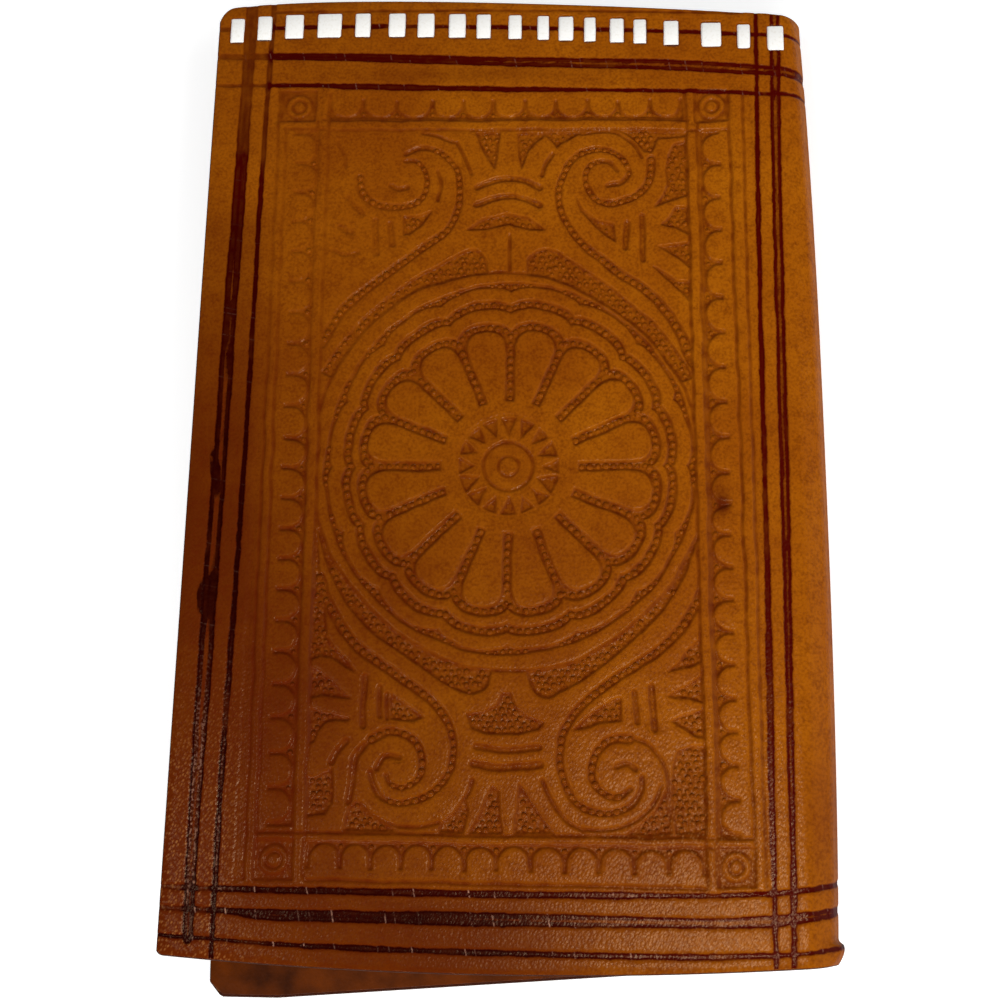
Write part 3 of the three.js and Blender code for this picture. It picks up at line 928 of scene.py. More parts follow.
def toolBack():
    tooling = newTooling(-93, 83)
    x = np.linspace(-60, 60, 25)
    v = np.linspace(-0.1, 1.1, 9)
    y = backCut["chamferHigh"][1] + v * backRise
    slant = np.polyval(np.polyfit(x[5:], backBottom(x[5:]), 1), x)
    beside = {
        "mouth": lambda gap: (x, slant + gap),
        "laced": lambda gap: (x, backTop(x) - gap),
        "free": lambda gap: (backFree(v) + gap, y),
    }
    lines = {}
    for edge, place in beside.items():
        for name, (gap, width, double) in backLines[edge].items():
            px, py = place(gap)
            columns = [px, py, np.full(len(px), width)] + ([np.zeros(len(px))] if double else [])
            points = np.stack(columns, 1)
            if edge != "free":
                meetFront(name, points)
            lines[name] = {"points": points, "strength": 0.9, "left": 0.6}
    lines["spineSingle"] = dyedLines["spineSingle"]
    lines["spineDouble"] = dyedLines["spineDouble"]
    dyeLines(tooling, lines)
    pressStitches(tooling, backTop)
    return tooling


def blurred(values, reach):
    n = max(1, int(round(reach / rasterStep)))
    kernel = np.hanning(2 * n + 3)[1:-1]
    kernel = kernel / kernel.sum()
    once = np.apply_along_axis(lambda row: np.convolve(row, kernel, mode="same"), 0, values)
    return np.apply_along_axis(lambda row: np.convolve(row, kernel, mode="same"), 1, once)


def sampled(tooling, name, x, y):
    gx = np.clip((x - tooling["x"][0]) / rasterStep, 0, len(tooling["x"]) - 1.001)
    gy = np.clip((y - tooling["y"][0]) / rasterStep, 0, len(tooling["y"]) - 1.001)
    i, j = gx.astype(int), gy.astype(int)
    fx, fy = gx - i, gy - j
    v = tooling[name]
    low = v[i, j] * (1 - fx) + v[i + 1, j] * fx
    high = v[i, j + 1] * (1 - fx) + v[i + 1, j + 1] * fx
    return low * (1 - fy) + high * fy


# Meshes
layShift = np.array([0, layOffset, 0])


def rolled(x, y, lift, side):
    turn = np.clip((x - wallet["foldX"]) / wallet["foldRadius"], 0, None)
    r = wallet["foldRadius"] + lift
    px = np.where(turn > 0, wallet["foldX"] + r * np.sin(turn), x)
    pz = np.where(turn > 0, r * np.cos(turn), r)
    return np.stack([px, y, wallet["foldRadius"] + side * pz], 1)


def unrolled(points, side):
    x, z = points[:, 0], side * (points[:, 2] - wallet["foldRadius"])
    turned = wallet["foldX"] + wallet["foldRadius"] * np.arctan2(x - wallet["foldX"], z)
    return np.where(x > wallet["foldX"], turned, x), points[:, 1]


def pieceFrom(name, points, faces, material, attributes=None):
    mesh = bpy.data.meshes.new(name)
    placed = (points + layShift) * mm
    faces = np.asarray(faces)
    mesh.vertices.add(len(placed))
    mesh.vertices.foreach_set("co", placed.astype(np.float32).ravel())
    mesh.loops.add(faces.size)
    mesh.loops.foreach_set("vertex_index", faces.astype(np.int32).ravel())
    mesh.polygons.add(len(faces))
    mesh.polygons.foreach_set("loop_start", np.arange(0, faces.size, faces.shape[1], dtype=np.int32))
    mesh.update(calc_edges=True)
    mesh.validate()
    mesh.shade_smooth()
    for key, values in (attributes or {}).items():
        layer = mesh.attributes.new(key, "FLOAT", "POINT")
        layer.data.foreach_set("value", values.astype(np.float32))
    if material:
        mesh.materials.append(material)
    piece = bpy.data.objects.new(name, mesh)
    scene.collection.objects.link(piece)
    return piece


def thinned(piece, triangles):
    modifier = piece.modifiers.new("thin", "DECIMATE")
    faces = sum(len(p.vertices) - 2 for p in piece.data.polygons)
    modifier.ratio = min(1, triangles / faces)
    depsgraph = bpy.context.evaluated_depsgraph_get()
    mesh = bpy.data.meshes.new_from_object(piece.evaluated_get(depsgraph))
    points = np.zeros(len(mesh.vertices) * 3)
    mesh.vertices.foreach_get("co", points)
    mesh.calc_loop_triangles()
    corners = np.zeros(len(mesh.loop_triangles) * 3, np.int32)
    mesh.loop_triangles.foreach_get("vertices", corners)
    old = piece.data
    bpy.data.objects.remove(piece)
    bpy.data.meshes.remove(old)
    bpy.data.meshes.remove(mesh)
    return points.reshape(-1, 3) / mm - layShift, corners.reshape(-1, 3)


def borderLoop(faces):
    edges = np.vstack([faces[:, [0, 1]], faces[:, [1, 2]], faces[:, [2, 0]]])
    single = set(map(tuple, edges)) - set(map(tuple, edges[:, ::-1]))
    following = dict(single)
    start = next(iter(following))
    loop = [start]
    while following[loop[-1]] != start:
        loop.append(following[loop[-1]])
    return np.array(loop)


# Rounded cut edge of a hide: inset from the outline and depth below the face, in shares of the thickness
cutEdge = [(0.30, 0.0), (0.12, 0.06), (0.0, 0.25), (0.0, 0.75), (0.12, 0.94), (0.30, 1.0)]
# Points on the flesh side of the fold, so that it bends in small steps
fleshBends = {"columns": 6, "short": 1, "from": -80, "to": 78, "step": 6.0}


def closedHide(points, faces, attributes, half, relief):
    side, thick = half["side"], half["thick"]
    loop = borderLoop(faces)
    x, y = unrolled(points[loop], side)
    ahead = np.stack([np.roll(x, -1) - np.roll(x, 1), np.roll(y, -1) - np.roll(y, 1)], 1)
    out = np.stack([ahead[:, 1], -ahead[:, 0]], 1) * side
    out = out / np.maximum(np.linalg.norm(out, axis=1), 1e-9)[:, None]
    seam = x > spineMiddle - 0.02  # the other half goes on from here, so this edge stays square
    out[seam, 0] = 0
    out[seam, 1] = np.sign(np.round(out[seam, 1]))
    rows, rings = [points], [loop]
    count = len(points)
    for inset, drop in cutEdge[1:]:
        move = (cutEdge[0][0] - inset) * min(1, thick)
        lift = relief(x, y) * (1 - drop) - (half["depth"] + thick) * drop
        rows.append(rolled(x + out[:, 0] * move, y + out[:, 1] * move, lift, side))
        rings.append(np.arange(count, count + len(loop)))
        count += len(loop)
    strips = []
    for a, b in zip(rings[:-1], rings[1:]):
        an, bn = np.roll(a, -1), np.roll(b, -1)
        strips += [np.stack([a, b, an], 1), np.stack([an, b, bn], 1)]
    columns = np.linspace(wallet["foldX"], spineMiddle - fleshBends["short"], fleshBends["columns"])
    rowsUp = np.arange(fleshBends["from"], fleshBends["to"], fleshBends["step"])
    bends = [(bx, by) for bx in columns for by in rowsUp]
    flat = [Vector(p) for p in zip(x, y)] + [Vector(p) for p in bends]
    made, _, inner, origin, _, _ = delaunay_2d_cdt(flat, [], [list(range(len(loop)))], 1, 1e-6)
    index, extra = [], []
    for p, sources in zip(made, origin):
        kept = [i for i in sources if i < len(loop)]
        index.append(rings[-1][kept[0]] if kept else count + len(extra))
        if not kept:
            extra.append((p.x, p.y))
    ex = np.array(extra)
    rows.append(rolled(ex[:, 0], ex[:, 1], np.full(len(ex), -half["depth"] - thick), side))
    flesh = np.array([[index[i] for i in f] for f in inner])
    flesh = flesh[:, ::-1] if side > 0 else flesh
    allPoints = np.vstack(rows)
    added = len(allPoints) - len(points)
    marks = {}
    for name, values in attributes.items():
        plain = np.full(added, farOff if name in ("cut", "paint") else 0.0)
        marks[name] = np.concatenate([values, plain])
    # the cut edge and flesh side get the edge colour: the cut edge's own dark tone, and painted shade on its
    # rounded top where the front lamp lights it
    marks["edge"] = np.concatenate([np.zeros(len(points)), np.ones(added)])
    return allPoints, np.vstack([faces] + strips + [flesh]), marks


# Large soft waves of a hide that has been carried in a pocket, which end short of the fold
carried = {"waves": [(46, 0.35), (17, 0.12)], "flat": 8}
# The lower end of the spine is drawn out to a small worn tip
spineTip = {"up": 3.0, "reach": 0.5, "lift": 1.0, "under": 1.1, "from": 51, "to": 55}
# The fold has sprung out most at half height
spineBow = {"middle": -4.0, "reach": 84.0, "round": 2.5, "lift": 1.4, "from": 49, "to": 56}
# The leather sinks sharply at a cut, and a little for some way round it: reach and share
sinking = {"depth": 0.7, "soft": (0.8, 0.12), "wide": (2.6, 0.15)}


def hideRelief(half):
    tooling = half["tooling"]
    for name in ("soft", "wide"):
        tooling[name] = blurred(tooling["depth"], sinking[name][0])

    def relief(x, y):
        above = (y - half["bottom"](x)) / spineTip["up"] - 1
        point = np.exp(-((above * spineTip["up"] / spineTip["reach"]) ** 2))
        tip = np.where(above > 0, point, 1 - spineTip["under"] * above**2)
        tip = tip * ramp(x, spineTip["from"], spineTip["to"])
        bow = 1 - np.clip(np.abs(y - spineBow["middle"]) / spineBow["reach"], 0, 1) ** spineBow["round"]
        tip = spineTip["lift"] * tip + spineBow["lift"] * bow * ramp(x, spineBow["from"], spineBow["to"])
        wave = waver(x + waveShift, y + waveShift, carried["waves"], half["seed"])
        wave = wave * ramp(x, wallet["foldX"], wallet["foldX"] - carried["flat"])
        pressed = sinking["depth"] * sampled(tooling, "depth", x, y)
        pressed = pressed + sinking["soft"][1] * sampled(tooling, "soft", x, y)
        pressed = pressed - sampled(tooling, "raised", x, y)
        return half["wave"] * wave - pressed - sinking["wide"][1] * sampled(tooling, "wide", x, y) + tip

    return relief


hideMesh = {"tall": 172, "quickStep": 0.6, "sharp": 75}


def hideHalf(name, half, material, triangles):
    side = half["side"]
    relief = half["relief"]
    inset = cutEdge[0][0] * min(1, half["thick"]) + half["inset"]
    step = half["step"]
    nv = int(hideMesh["tall"] / step)
    nu = int((spineMiddle - wallet["freeEdge"]) / step)
    v, u = np.meshgrid(np.linspace(0, 1, nv), np.linspace(0, 1, nu))
    left = half["free"](v) + inset
    x = left + u * (spineMiddle - left)
    low, high = half["bottom"](x) + inset, half["top"](x) - inset
    y = low + v * (high - low)
    x, y = x.ravel(), y.ravel()
    points = rolled(x, y, relief(x, y), side)
    a = (np.arange(nu - 1)[:, None] * nv + np.arange(nv - 1)[None, :]).ravel()
    quads = np.stack([a, a + nv, a + nv + 1, a + 1], 1)
    quads = quads if side > 0 else quads[:, ::-1]
    points, faces = thinned(pieceFrom(name + "_raw", points, quads, None), triangles)
    px, py = unrolled(points, side)
    attributes = {}
    if half["tooling"]:
        for key in ("cut", "paint", "coat", "stipple", "level"):
            attributes[key] = sampled(half["tooling"], key, px, py)
    points, faces, attributes = closedHide(points, faces, attributes, half, relief)
    piece = pieceFrom(name, points, faces, material, attributes)
    piece.data.set_sharp_from_angle(angle=math.radians(hideMesh["sharp"]))
    return piece


# Flat sheets: panels and pockets, with a rounded cut edge and a creased line along it
sheetEdge = [(0.14, 0.0), (0.04, 0.12), (0.0, 0.35), (0.0, 0.65), (0.04, 0.88), (0.14, 1.0)]
sheetCrease = [(1.3, 0.0), (1.5, 0.1), (1.7, 0.1), (1.9, 0.0)]


def filled(ring, index):
    loop = [Vector(p) for p in ring]
    _, _, faces, origin, _, _ = delaunay_2d_cdt(loop, [], [list(range(len(loop)))], 1, 1e-6)
    return np.array([[index[origin[i][0]] for i in f] for f in faces])


def sheetShell(outline, zFace, zUnder, crease):
    outline = np.array(outline, float)
    before, after = np.roll(outline, 1, 0) - outline, np.roll(outline, -1, 0) - outline
    before = before / np.linalg.norm(before, axis=1)[:, None]
    after = after / np.linalg.norm(after, axis=1)[:, None]
    along = after - before
    along = along / np.maximum(np.linalg.norm(along, axis=1), 1e-9)[:, None]
    inward = np.stack([-along[:, 1], along[:, 0]], 1)
    spread = np.clip(np.abs(inward[:, 0] * -after[:, 1] + inward[:, 1] * after[:, 0]), 0.5, 1)[:, None]
    profile = [(inset, zUnder + (zFace - zUnder) * rise) for inset, rise in sheetEdge]
    if crease:
        profile += [(inset, zFace - drop * np.sign(zFace - zUnder)) for inset, drop in sheetCrease]
    n = len(outline)
    rows = [np.column_stack([outline + inward * inset / spread, np.full(n, z)]) for inset, z in profile]
    rings = [np.arange(k * n, (k + 1) * n) for k in range(len(rows))]
    faces = []
    for a, b in zip(rings[:-1], rings[1:]):
        an, bn = np.roll(a, -1), np.roll(b, -1)
        faces += [np.stack([a, an, b], 1), np.stack([an, bn, b], 1)]
    faces.append(filled(rows[-1][:, :2], rings[-1]))
    faces.append(filled(rows[0][:, :2], rings[0])[:, ::-1])
    faces = np.vstack(faces)
    return np.vstack(rows), faces if zFace > zUnder else faces[:, ::-1]


def sheetPiece(name, shells, material):
    points, faces, count = [], [], 0
    for shell in shells:
        points.append(shell[0])
        faces.append(shell[1] + count)
        count += len(shell[0])
    return pieceFrom(name, np.vstack(points), np.vstack(faces), material)


def densified(outline, step):
    ring = np.vstack([outline, outline[:1]])
    made = []
    for a, b in zip(ring[:-1], ring[1:]):
        n = max(1, int(np.linalg.norm(b - a) / step))
        made.append(a + (b - a) * np.linspace(0, 1, n, endpoint=False)[:, None])
    return np.vstack(made)


# Materials
def linear(hexColour):
    parts = [int(hexColour[i:i + 2], 16) / 255 for i in (1, 3, 5)]
    return [c / 12.92 if c <= 0.04045 else ((c + 0.055) / 1.055) ** 2.4 for c in parts] + [1]


def addNode(tree, kind, inputs=None, give=0, **settings):
    node = tree.nodes.new(kind)
    for key, value in settings.items():
        setattr(node, key, value)
    for key, value in (inputs or {}).items():
        if isinstance(value, bpy.types.NodeSocket):
            tree.links.new(value, node.inputs[key])
        else:
            node.inputs[key].default_value = value
    return node.outputs[give] if node.outputs else node


def newMaterial(name):
    material = bpy.data.materials.new(name)
    material.use_nodes = True
    material.node_tree.nodes.clear()
    return material, material.node_tree


# Vegetable-tanned cowhide, tooled, antiqued and waxed: amber where it is raised, red brown along the cuts,
# darker towards the free edge and the bottom partly from handling and partly as painted shade, oxblood on the
# painted lines, with a fine pebbled grain whose glints in the lower corners are partly a painted highlight
tooledHide = {
    "tones": {
        "amber": "#a95d08",
        "deepAmber": "#904705",
        # patina: darker by handling, and painted shade where the light falls off towards the left and the
        # bottom
        "patinaAndShade": "#5b2203",
        "antique": "#541402",
        "seed": "#a85c1c",
        "oxblood": "#480401",
        # the paint where the hide is painted darker, partly with painted shade
        "oldShadedOxblood": "#200000",
        # pale cracks and dashes on the paint, partly a painted highlight
        "crackGlint": "#a87862",
        # tip: pale grain tips, a painted highlight for the glints in the lower corners
        "tip": "#965c2c",
        # dark cut edge: its own colour, and painted shade on the rounded top of the edge
        "edge": "#35150a",
    },
    # size in millimetres, detail and roughness of the clouds, flecks and specks
    "noises": {"mottle": (24.0, 5.0, 0.6), "fleck": (2.2, 4.0, 0.5), "speck": (0.5, 2.0, 0.5)},
    "grain": 0.42,
    "grainTurn": -30.0,  # the grain lies in short slanting strokes
    "grainLong": 1.6,
    "stippleDot": 0.85,
    "stippleUneven": 0.7,
    "cutTone": 0.48,  # how far the line along each cut goes towards the antique brown
    "shadeBetweenGlintsTone": 0.3,  # and the painted shade between the painted glints on the grain's tips
    "wornPaint": 0.3,
    "brushWander": 0.3,
    "tickGap": 4.5,  # between the pale cracks that cross a painted line
    "tickRow": 4.4,  # lines this far apart crack in different places
    "tickFrom": 2.9,
    "tickShift": 2.7,
    "tickSlant": 0.2,
    # strength and depth of the bumps of grain, specks and punched dots
    "bumps": {"grain": (0.4, 0.08), "speck": (0.2, 0.1), "punched": (0.4, 0.25)},
    "specular": 0.065,
    "specularTint": (1.0, 0.7, 0.42, 1.0),
    # how each pattern or mark is read: what it is, from low to high, and what that gives
    "reads": {
        "cloud": ("mottle", 0.35, 0.65, 0, 0.8),
        "spots": ("fleck", 0.4, 0.75, 0, 0.3),
        "fine": ("speck", 0.35, 0.7, -0.14, 0.32),
        "shift": ("mottle", 0.3, 0.7, 0.85, 1.12),
        "wander": ("speck", 0.2, 0.8, -0.22, 0.22),  # how unevenly cuts end, mm
        "uneven": ("fleck", 0.3, 0.7, 0.5, 1.35),
        "waxLeft": ("rubbed", 0, 1, 1, 0.45),
        "dot": ("dots", 0.1, 0.45, 0.22, 0),
        "some": ("grainTone", 0.1, 0.75, 0.1, 0.8),
        "bare": ("mottle", 0.35, 0.6, 0.6, 1.1),
        "thick": ("coat", 0.1, 0.75, 0, 1),
        "ridge": ("cut", 0.02, 0.16, 0, 1),
        "thin": ("fleck", 0.35, 0.65, 0, 0.14),
        "flakeGlints": ("speck", 0.5, 0.6, 0, 0.5),
        "dryLevel": ("level", 0, 1, 0.1, 1),
        "broken": ("speck", 0.42, 0.55, 0, 1),
        "rough": ("mottle", 0.3, 0.7, 0.17, 0.25),
    },
    # the same for what is worked out on the way, some of it with soft ends
    "foot": {1: -0.6, 2: -0.1, 3: 0, 4: 1},
    "lip": {1: -0.02, 2: 0.24, 3: 1, 4: 0},
    "ground": {1: 0.0, 2: -0.35, 3: 0, 4: 0.26},
    "glintTips": {1: 0.1, 2: 0.55, 3: 1, 4: 0},
    "brush": {1: 0.12, 2: -0.1, 3: 0, 4: 1},
    "tickShare": {1: 0.2, 2: 0.8, 3: 0.0, 4: 0.8},
    "dryHandled": {1: 0.2, 2: 0.7, 3: 0.3, 4: 1},
    "tickLine": {1: 0.014, 2: 0.036, 3: 1, 4: 0},
    "dull": {1: 0.4, 2: 0.9, 3: 0, 4: 0.5},
}


def makeTooledHide():
    finish = tooledHide
    material, tree = newMaterial("tooledCowhide")
    place = addNode(tree, "ShaderNodeTexCoord", give="Object")
    source = {}
    for name in ("cut", "paint", "coat", "stipple", "level", "patinaAndShade", "rubbed", "wornGlint", "edge"):
        source[name] = addNode(tree, "ShaderNodeAttribute", give="Fac", attribute_name=name)
    for name, (size, detail, rough) in finish["noises"].items():
        source[name] = addNode(tree, "ShaderNodeTexNoise", {"Vector": place, "Scale": 1 / (size * mm),
                                                            "Detail": detail, "Roughness": rough})
    turn, stretch = (0, 0, math.radians(finish["grainTurn"])), (1, finish["grainLong"], 1)
    strokes = addNode(tree, "ShaderNodeMapping", {"Vector": place, "Rotation": turn, "Scale": stretch},
                      vector_type="TEXTURE")
    grain = addNode(tree, "ShaderNodeTexVoronoi", {"Vector": strokes, "Scale": 1 / (finish["grain"] * mm)})
    dots = addNode(tree, "ShaderNodeTexVoronoi", {"Vector": place, "Scale": 1 / (finish["stippleDot"] * mm),
                                                  "Randomness": finish["stippleUneven"]})
    source.update(dots=dots, grainTone=grain.node.outputs["Color"])
    read = {}
    for name, (pattern, *span) in finish["reads"].items():
        read[name] = addNode(tree, "ShaderNodeMapRange", dict(enumerate([source[pattern]] + span)))
    # clouds and specks, and the darkening partly by handling and partly as painted shade
    spots = addNode(tree, "ShaderNodeMath", {0: read["spots"], 1: read["fine"]}, operation="ADD",
                    use_clamp=True)
    handledAndShaded = addNode(tree, "ShaderNodeMath", {0: source["patinaAndShade"], 1: read["shift"]}, operation="MULTIPLY",
                      use_clamp=True)
    # antique wax in the ground and, darker, along the cuts
    cut = addNode(tree, "ShaderNodeMath", {0: source["cut"], 1: read["wander"]}, operation="ADD")
    foot = addNode(tree, "ShaderNodeMapRange", {0: cut, **finish["foot"]}, interpolation_type="SMOOTHSTEP")
    lip = addNode(tree, "ShaderNodeMapRange", {0: cut, **finish["lip"]}, interpolation_type="SMOOTHSTEP")
    line = addNode(tree, "ShaderNodeMath", {0: foot, 1: lip}, operation="MULTIPLY")
    line = addNode(tree, "ShaderNodeMath", {0: line, 1: read["uneven"]}, operation="MULTIPLY")
    ground = addNode(tree, "ShaderNodeMapRange", {0: cut, **finish["ground"]})
    waxed = addNode(tree, "ShaderNodeMath", {0: line, 1: finish["cutTone"], 2: ground},
                    operation="MULTIPLY_ADD")
    waxed = addNode(tree, "ShaderNodeMath", {0: waxed, 1: read["waxLeft"]}, operation="MULTIPLY",
                    use_clamp=True)
    dot = addNode(tree, "ShaderNodeMath", {0: read["dot"], 1: source["stipple"]}, operation="MULTIPLY")
    # tips of the grain painted pale as glints, a painted highlight, with painted shade between them
    tip = addNode(tree, "ShaderNodeMapRange", {0: grain, **finish["glintTips"]}, interpolation_type="SMOOTHSTEP")
    tip = addNode(tree, "ShaderNodeMath", {0: tip, 1: read["some"]}, operation="MULTIPLY")
    bare = addNode(tree, "ShaderNodeMath", {0: source["wornGlint"], 1: read["bare"]}, operation="MULTIPLY",
                   use_clamp=True)
    pale = addNode(tree, "ShaderNodeMath", {0: tip, 1: bare}, operation="MULTIPLY")
    shadeBetweenGlints = addNode(tree, "ShaderNodeMath", {0: bare, 1: finish["shadeBetweenGlintsTone"]}, operation="MULTIPLY")
    # oxblood paint
    brush = addNode(tree, "ShaderNodeMath", {0: read["wander"], 1: finish["brushWander"], 2: source["paint"]},
                    operation="MULTIPLY_ADD")
    brush = addNode(tree, "ShaderNodeMapRange", {0: brush, **finish["brush"]})
    painted = addNode(tree, "ShaderNodeMath", {0: brush, 1: read["thick"]}, operation="MULTIPLY")
    # where the grain is worn, the paint between its creases is worn too and flakes off in pale dashes, which
    # also stand for the glossy paint's glints, a painted highlight
    thin = addNode(tree, "ShaderNodeMath", {0: read["thin"], 1: read["ridge"]}, operation="MULTIPLY")
    ridge = addNode(tree, "ShaderNodeMath", {0: read["ridge"], 1: bare}, operation="MULTIPLY")
    flakedAndGlinting = addNode(tree, "ShaderNodeMath", {0: read["flakeGlints"], 1: ridge}, operation="MULTIPLY")
    flakedAndGlinting = addNode(tree, "ShaderNodeMath", {0: flakedAndGlinting, 1: painted}, operation="MULTIPLY")
    gone = addNode(tree, "ShaderNodeMath", {0: ridge, 1: finish["wornPaint"], 2: thin},
                   operation="MULTIPLY_ADD")
    kept = addNode(tree, "ShaderNodeMath", {0: 1.0, 1: gone}, operation="SUBTRACT", use_clamp=True)
    painted = addNode(tree, "ShaderNodeMath", {0: painted, 1: kept}, operation="MULTIPLY")
    # pale cracks straight across the painted lines, their paleness partly a painted highlight of the glint on
    # their edges
    slant = finish["tickSlant"]
    ahead = addNode(tree, "ShaderNodeMix", {0: source["level"], 4: (slant, 1, 0), 5: (1, slant, 0)}, 1,
                    data_type="VECTOR")
    along = addNode(tree, "ShaderNodeVectorMath", {0: place, 1: ahead}, "Value", operation="DOT_PRODUCT")
    row = addNode(tree, "ShaderNodeSeparateXYZ", {0: place}, "Y")
    row = addNode(tree, "ShaderNodeMath", {0: row, 1: finish["tickFrom"] * mm}, operation="ADD")
    row = addNode(tree, "ShaderNodeMath", {0: row, 1: finish["tickRow"] * mm}, operation="SNAP")
    row = addNode(tree, "ShaderNodeMath", {0: row, 1: source["level"]}, operation="MULTIPLY")
    along = addNode(tree, "ShaderNodeMath", {0: row, 1: finish["tickShift"], 2: along},
                    operation="MULTIPLY_ADD")
    ticks = addNode(tree, "ShaderNodeTexVoronoi", {"W": along, "Scale": 1 / (finish["tickGap"] * mm)},
                    voronoi_dimensions="1D")
    share = addNode(tree, "ShaderNodeMapRange", {0: ticks.node.outputs["Color"], **finish["tickShare"]})
    dry = addNode(tree, "ShaderNodeMapRange", {0: handledAndShaded, **finish["dryHandled"]})
    crackGlint = addNode(tree, "ShaderNodeMapRange", {0: ticks, **finish["tickLine"]})
    for factor in (read["broken"], share, read["dryLevel"], dry, painted):
        crackGlint = addNode(tree, "ShaderNodeMath", {0: crackGlint, 1: factor}, operation="MULTIPLY")
    # each tone over the last; the paint is older and blacker where the leather is painted darker, which is
    # partly painted shade
    tone = {name: linear(hexColour) for name, hexColour in finish["tones"].items()}
    tone["paint"] = addNode(tree, "ShaderNodeMix", {0: handledAndShaded, 6: tone["oxblood"], 7: tone["oldShadedOxblood"]}, 2,
                            data_type="RGBA")
    body = tone["amber"]
    for name, amount in (("deepAmber", read["cloud"]), ("patinaAndShade", handledAndShaded), ("antique", spots),
                         ("antique", waxed), ("seed", dot), ("antique", shadeBetweenGlints), ("tip", pale),
                         ("paint", painted), ("crackGlint", flakedAndGlinting), ("crackGlint", crackGlint), ("edge", source["edge"])):
        body = addNode(tree, "ShaderNodeMix", {0: amount, 6: body, 7: tone[name]}, 2, data_type="RGBA")
    # grain, fine flecks and punched dots in the surface
    punched = addNode(tree, "ShaderNodeMath", {0: dots, 1: source["stipple"]}, operation="MULTIPLY")
    heights = {"grain": grain, "speck": source["speck"], "punched": punched}
    normal = {}
    for name, (strength, deep) in finish["bumps"].items():
        bump = {"Strength": strength, "Distance": deep * mm, "Height": heights[name], **normal}
        normal = {"Normal": addNode(tree, "ShaderNodeBump", bump, invert=name != "speck")}
    glancing = addNode(tree, "ShaderNodeLayerWeight", {"Blend": 0.5}, "Facing")
    dull = addNode(tree, "ShaderNodeMapRange", {0: glancing, **finish["dull"]},
                   interpolation_type="SMOOTHSTEP")
    rough = addNode(tree, "ShaderNodeMath", {0: read["rough"], 1: dull}, operation="ADD")
    shader = addNode(tree, "ShaderNodeBsdfPrincipled", {
        "Base Color": body, "Roughness": rough, "Specular IOR Level": finish["specular"],
        "Specular Tint": finish["specularTint"], **normal})
    addNode(tree, "ShaderNodeOutputMaterial", {0: shader})
    return material


# Calf for panels and pockets: plain brown, fine grain, a dull polish
innerCalf = {
    "brown": "#5c2600", "dark": "#2c0e00", "grain": 0.55, "mottle": 7.0, "roughness": 0.5, "bump": 0.35,
}
# Skiver lining: a thin split, suede-like and matt
skiverSplit = {
    "brown": "#6e4320", "dark": "#553016", "grain": 0.35, "mottle": 9.0, "roughness": 0.85, "bump": 0.5,
}
# Waxed linen thread
linenThread = {
    "brown": "#8a5c2c", "dark": "#5c3514", "grain": 0.3, "mottle": 3.0, "roughness": 0.6, "bump": 0.6,
}


def makePlainLeather(name, finish):
    material, tree = newMaterial(name)
    place = addNode(tree, "ShaderNodeTexCoord", give="Object")
    mottle = addNode(tree, "ShaderNodeTexNoise", {"Vector": place, "Scale": 1 / (finish["mottle"] * mm),
                                                  "Detail": 6.0})
    grain = addNode(tree, "ShaderNodeTexVoronoi", {"Vector": place, "Scale": 1 / (finish["grain"] * mm)})
    cloud = addNode(tree, "ShaderNodeMapRange", {0: mottle, 1: 0.35, 2: 0.7, 3: 0, 4: 1})
    body = addNode(tree, "ShaderNodeMix",
                   {0: cloud, 6: linear(finish["brown"]), 7: linear(finish["dark"])}, 2,
                   data_type="RGBA")
    normal = addNode(tree, "ShaderNodeBump",
                     {"Strength": finish["bump"], "Distance": 0.1 * mm, "Height": grain})
    shader = addNode(tree, "ShaderNodeBsdfPrincipled", {
        "Base Color": body, "Roughness": finish["roughness"], "Normal": normal, "Specular IOR Level": 0.04})
    addNode(tree, "ShaderNodeOutputMaterial", {0: shader})
    return material


# Flat thong of alum-tawed leather: nearly white, matt, with faint fibres
whiteThong = {"pale": "#fdfbf6", "shade": "#e6dfd0", "fibre": 0.5, "roughness": 0.62, "bump": 0.15}


def makeWhiteThong():
    finish = whiteThong
    material, tree = newMaterial("alumTawedThong")
    place = addNode(tree, "ShaderNodeTexCoord", give="Object")
    fibre = addNode(tree, "ShaderNodeTexNoise", {"Vector": place, "Scale": 1 / (finish["fibre"] * mm),
                                                 "Detail": 4.0})
    soil = addNode(tree, "ShaderNodeMapRange", {0: fibre, 1: 0.5, 2: 0.8, 3: 0, 4: 0.5})
    body = addNode(tree, "ShaderNodeMix", {0: soil, 6: linear(finish["pale"]), 7: linear(finish["shade"])}, 2,
                   data_type="RGBA")
    normal = addNode(tree, "ShaderNodeBump",
                     {"Strength": finish["bump"], "Distance": 0.08 * mm, "Height": fibre})
    shader = addNode(tree, "ShaderNodeBsdfPrincipled", {"Base Color": body, "Normal": normal,
                                                        "Roughness": finish["roughness"]})
    addNode(tree, "ShaderNodeOutputMaterial", {0: shader})
    return material


# Geometry Nodes: a tree is made once, then grown along a path for each piece
def newTree(name, sizes):
    tree = bpy.data.node_groups.new(name, "GeometryNodeTree")
    tree.interface.new_socket("Path", in_out="INPUT", socket_type="NodeSocketGeometry")
    for size in sizes:
        kind = "NodeSocketMaterial" if size == "Material" else "NodeSocketFloat"
        tree.interface.new_socket(size, in_out="INPUT", socket_type=kind)
    tree.interface.new_socket("Piece", in_out="OUTPUT", socket_type="NodeSocketGeometry")
    given = tree.nodes.new("NodeGroupInput").outputs
    return tree, given


def endTree(tree, given, geometry):
    real = addNode(tree, "GeometryNodeRealizeInstances", {0: geometry})
    smooth = addNode(tree, "GeometryNodeSetShadeSmooth", {0: real})
    covered = addNode(tree, "GeometryNodeSetMaterial", {0: smooth, "Material": given["Material"]})
    addNode(tree, "NodeGroupOutput", {0: covered})
    return tree


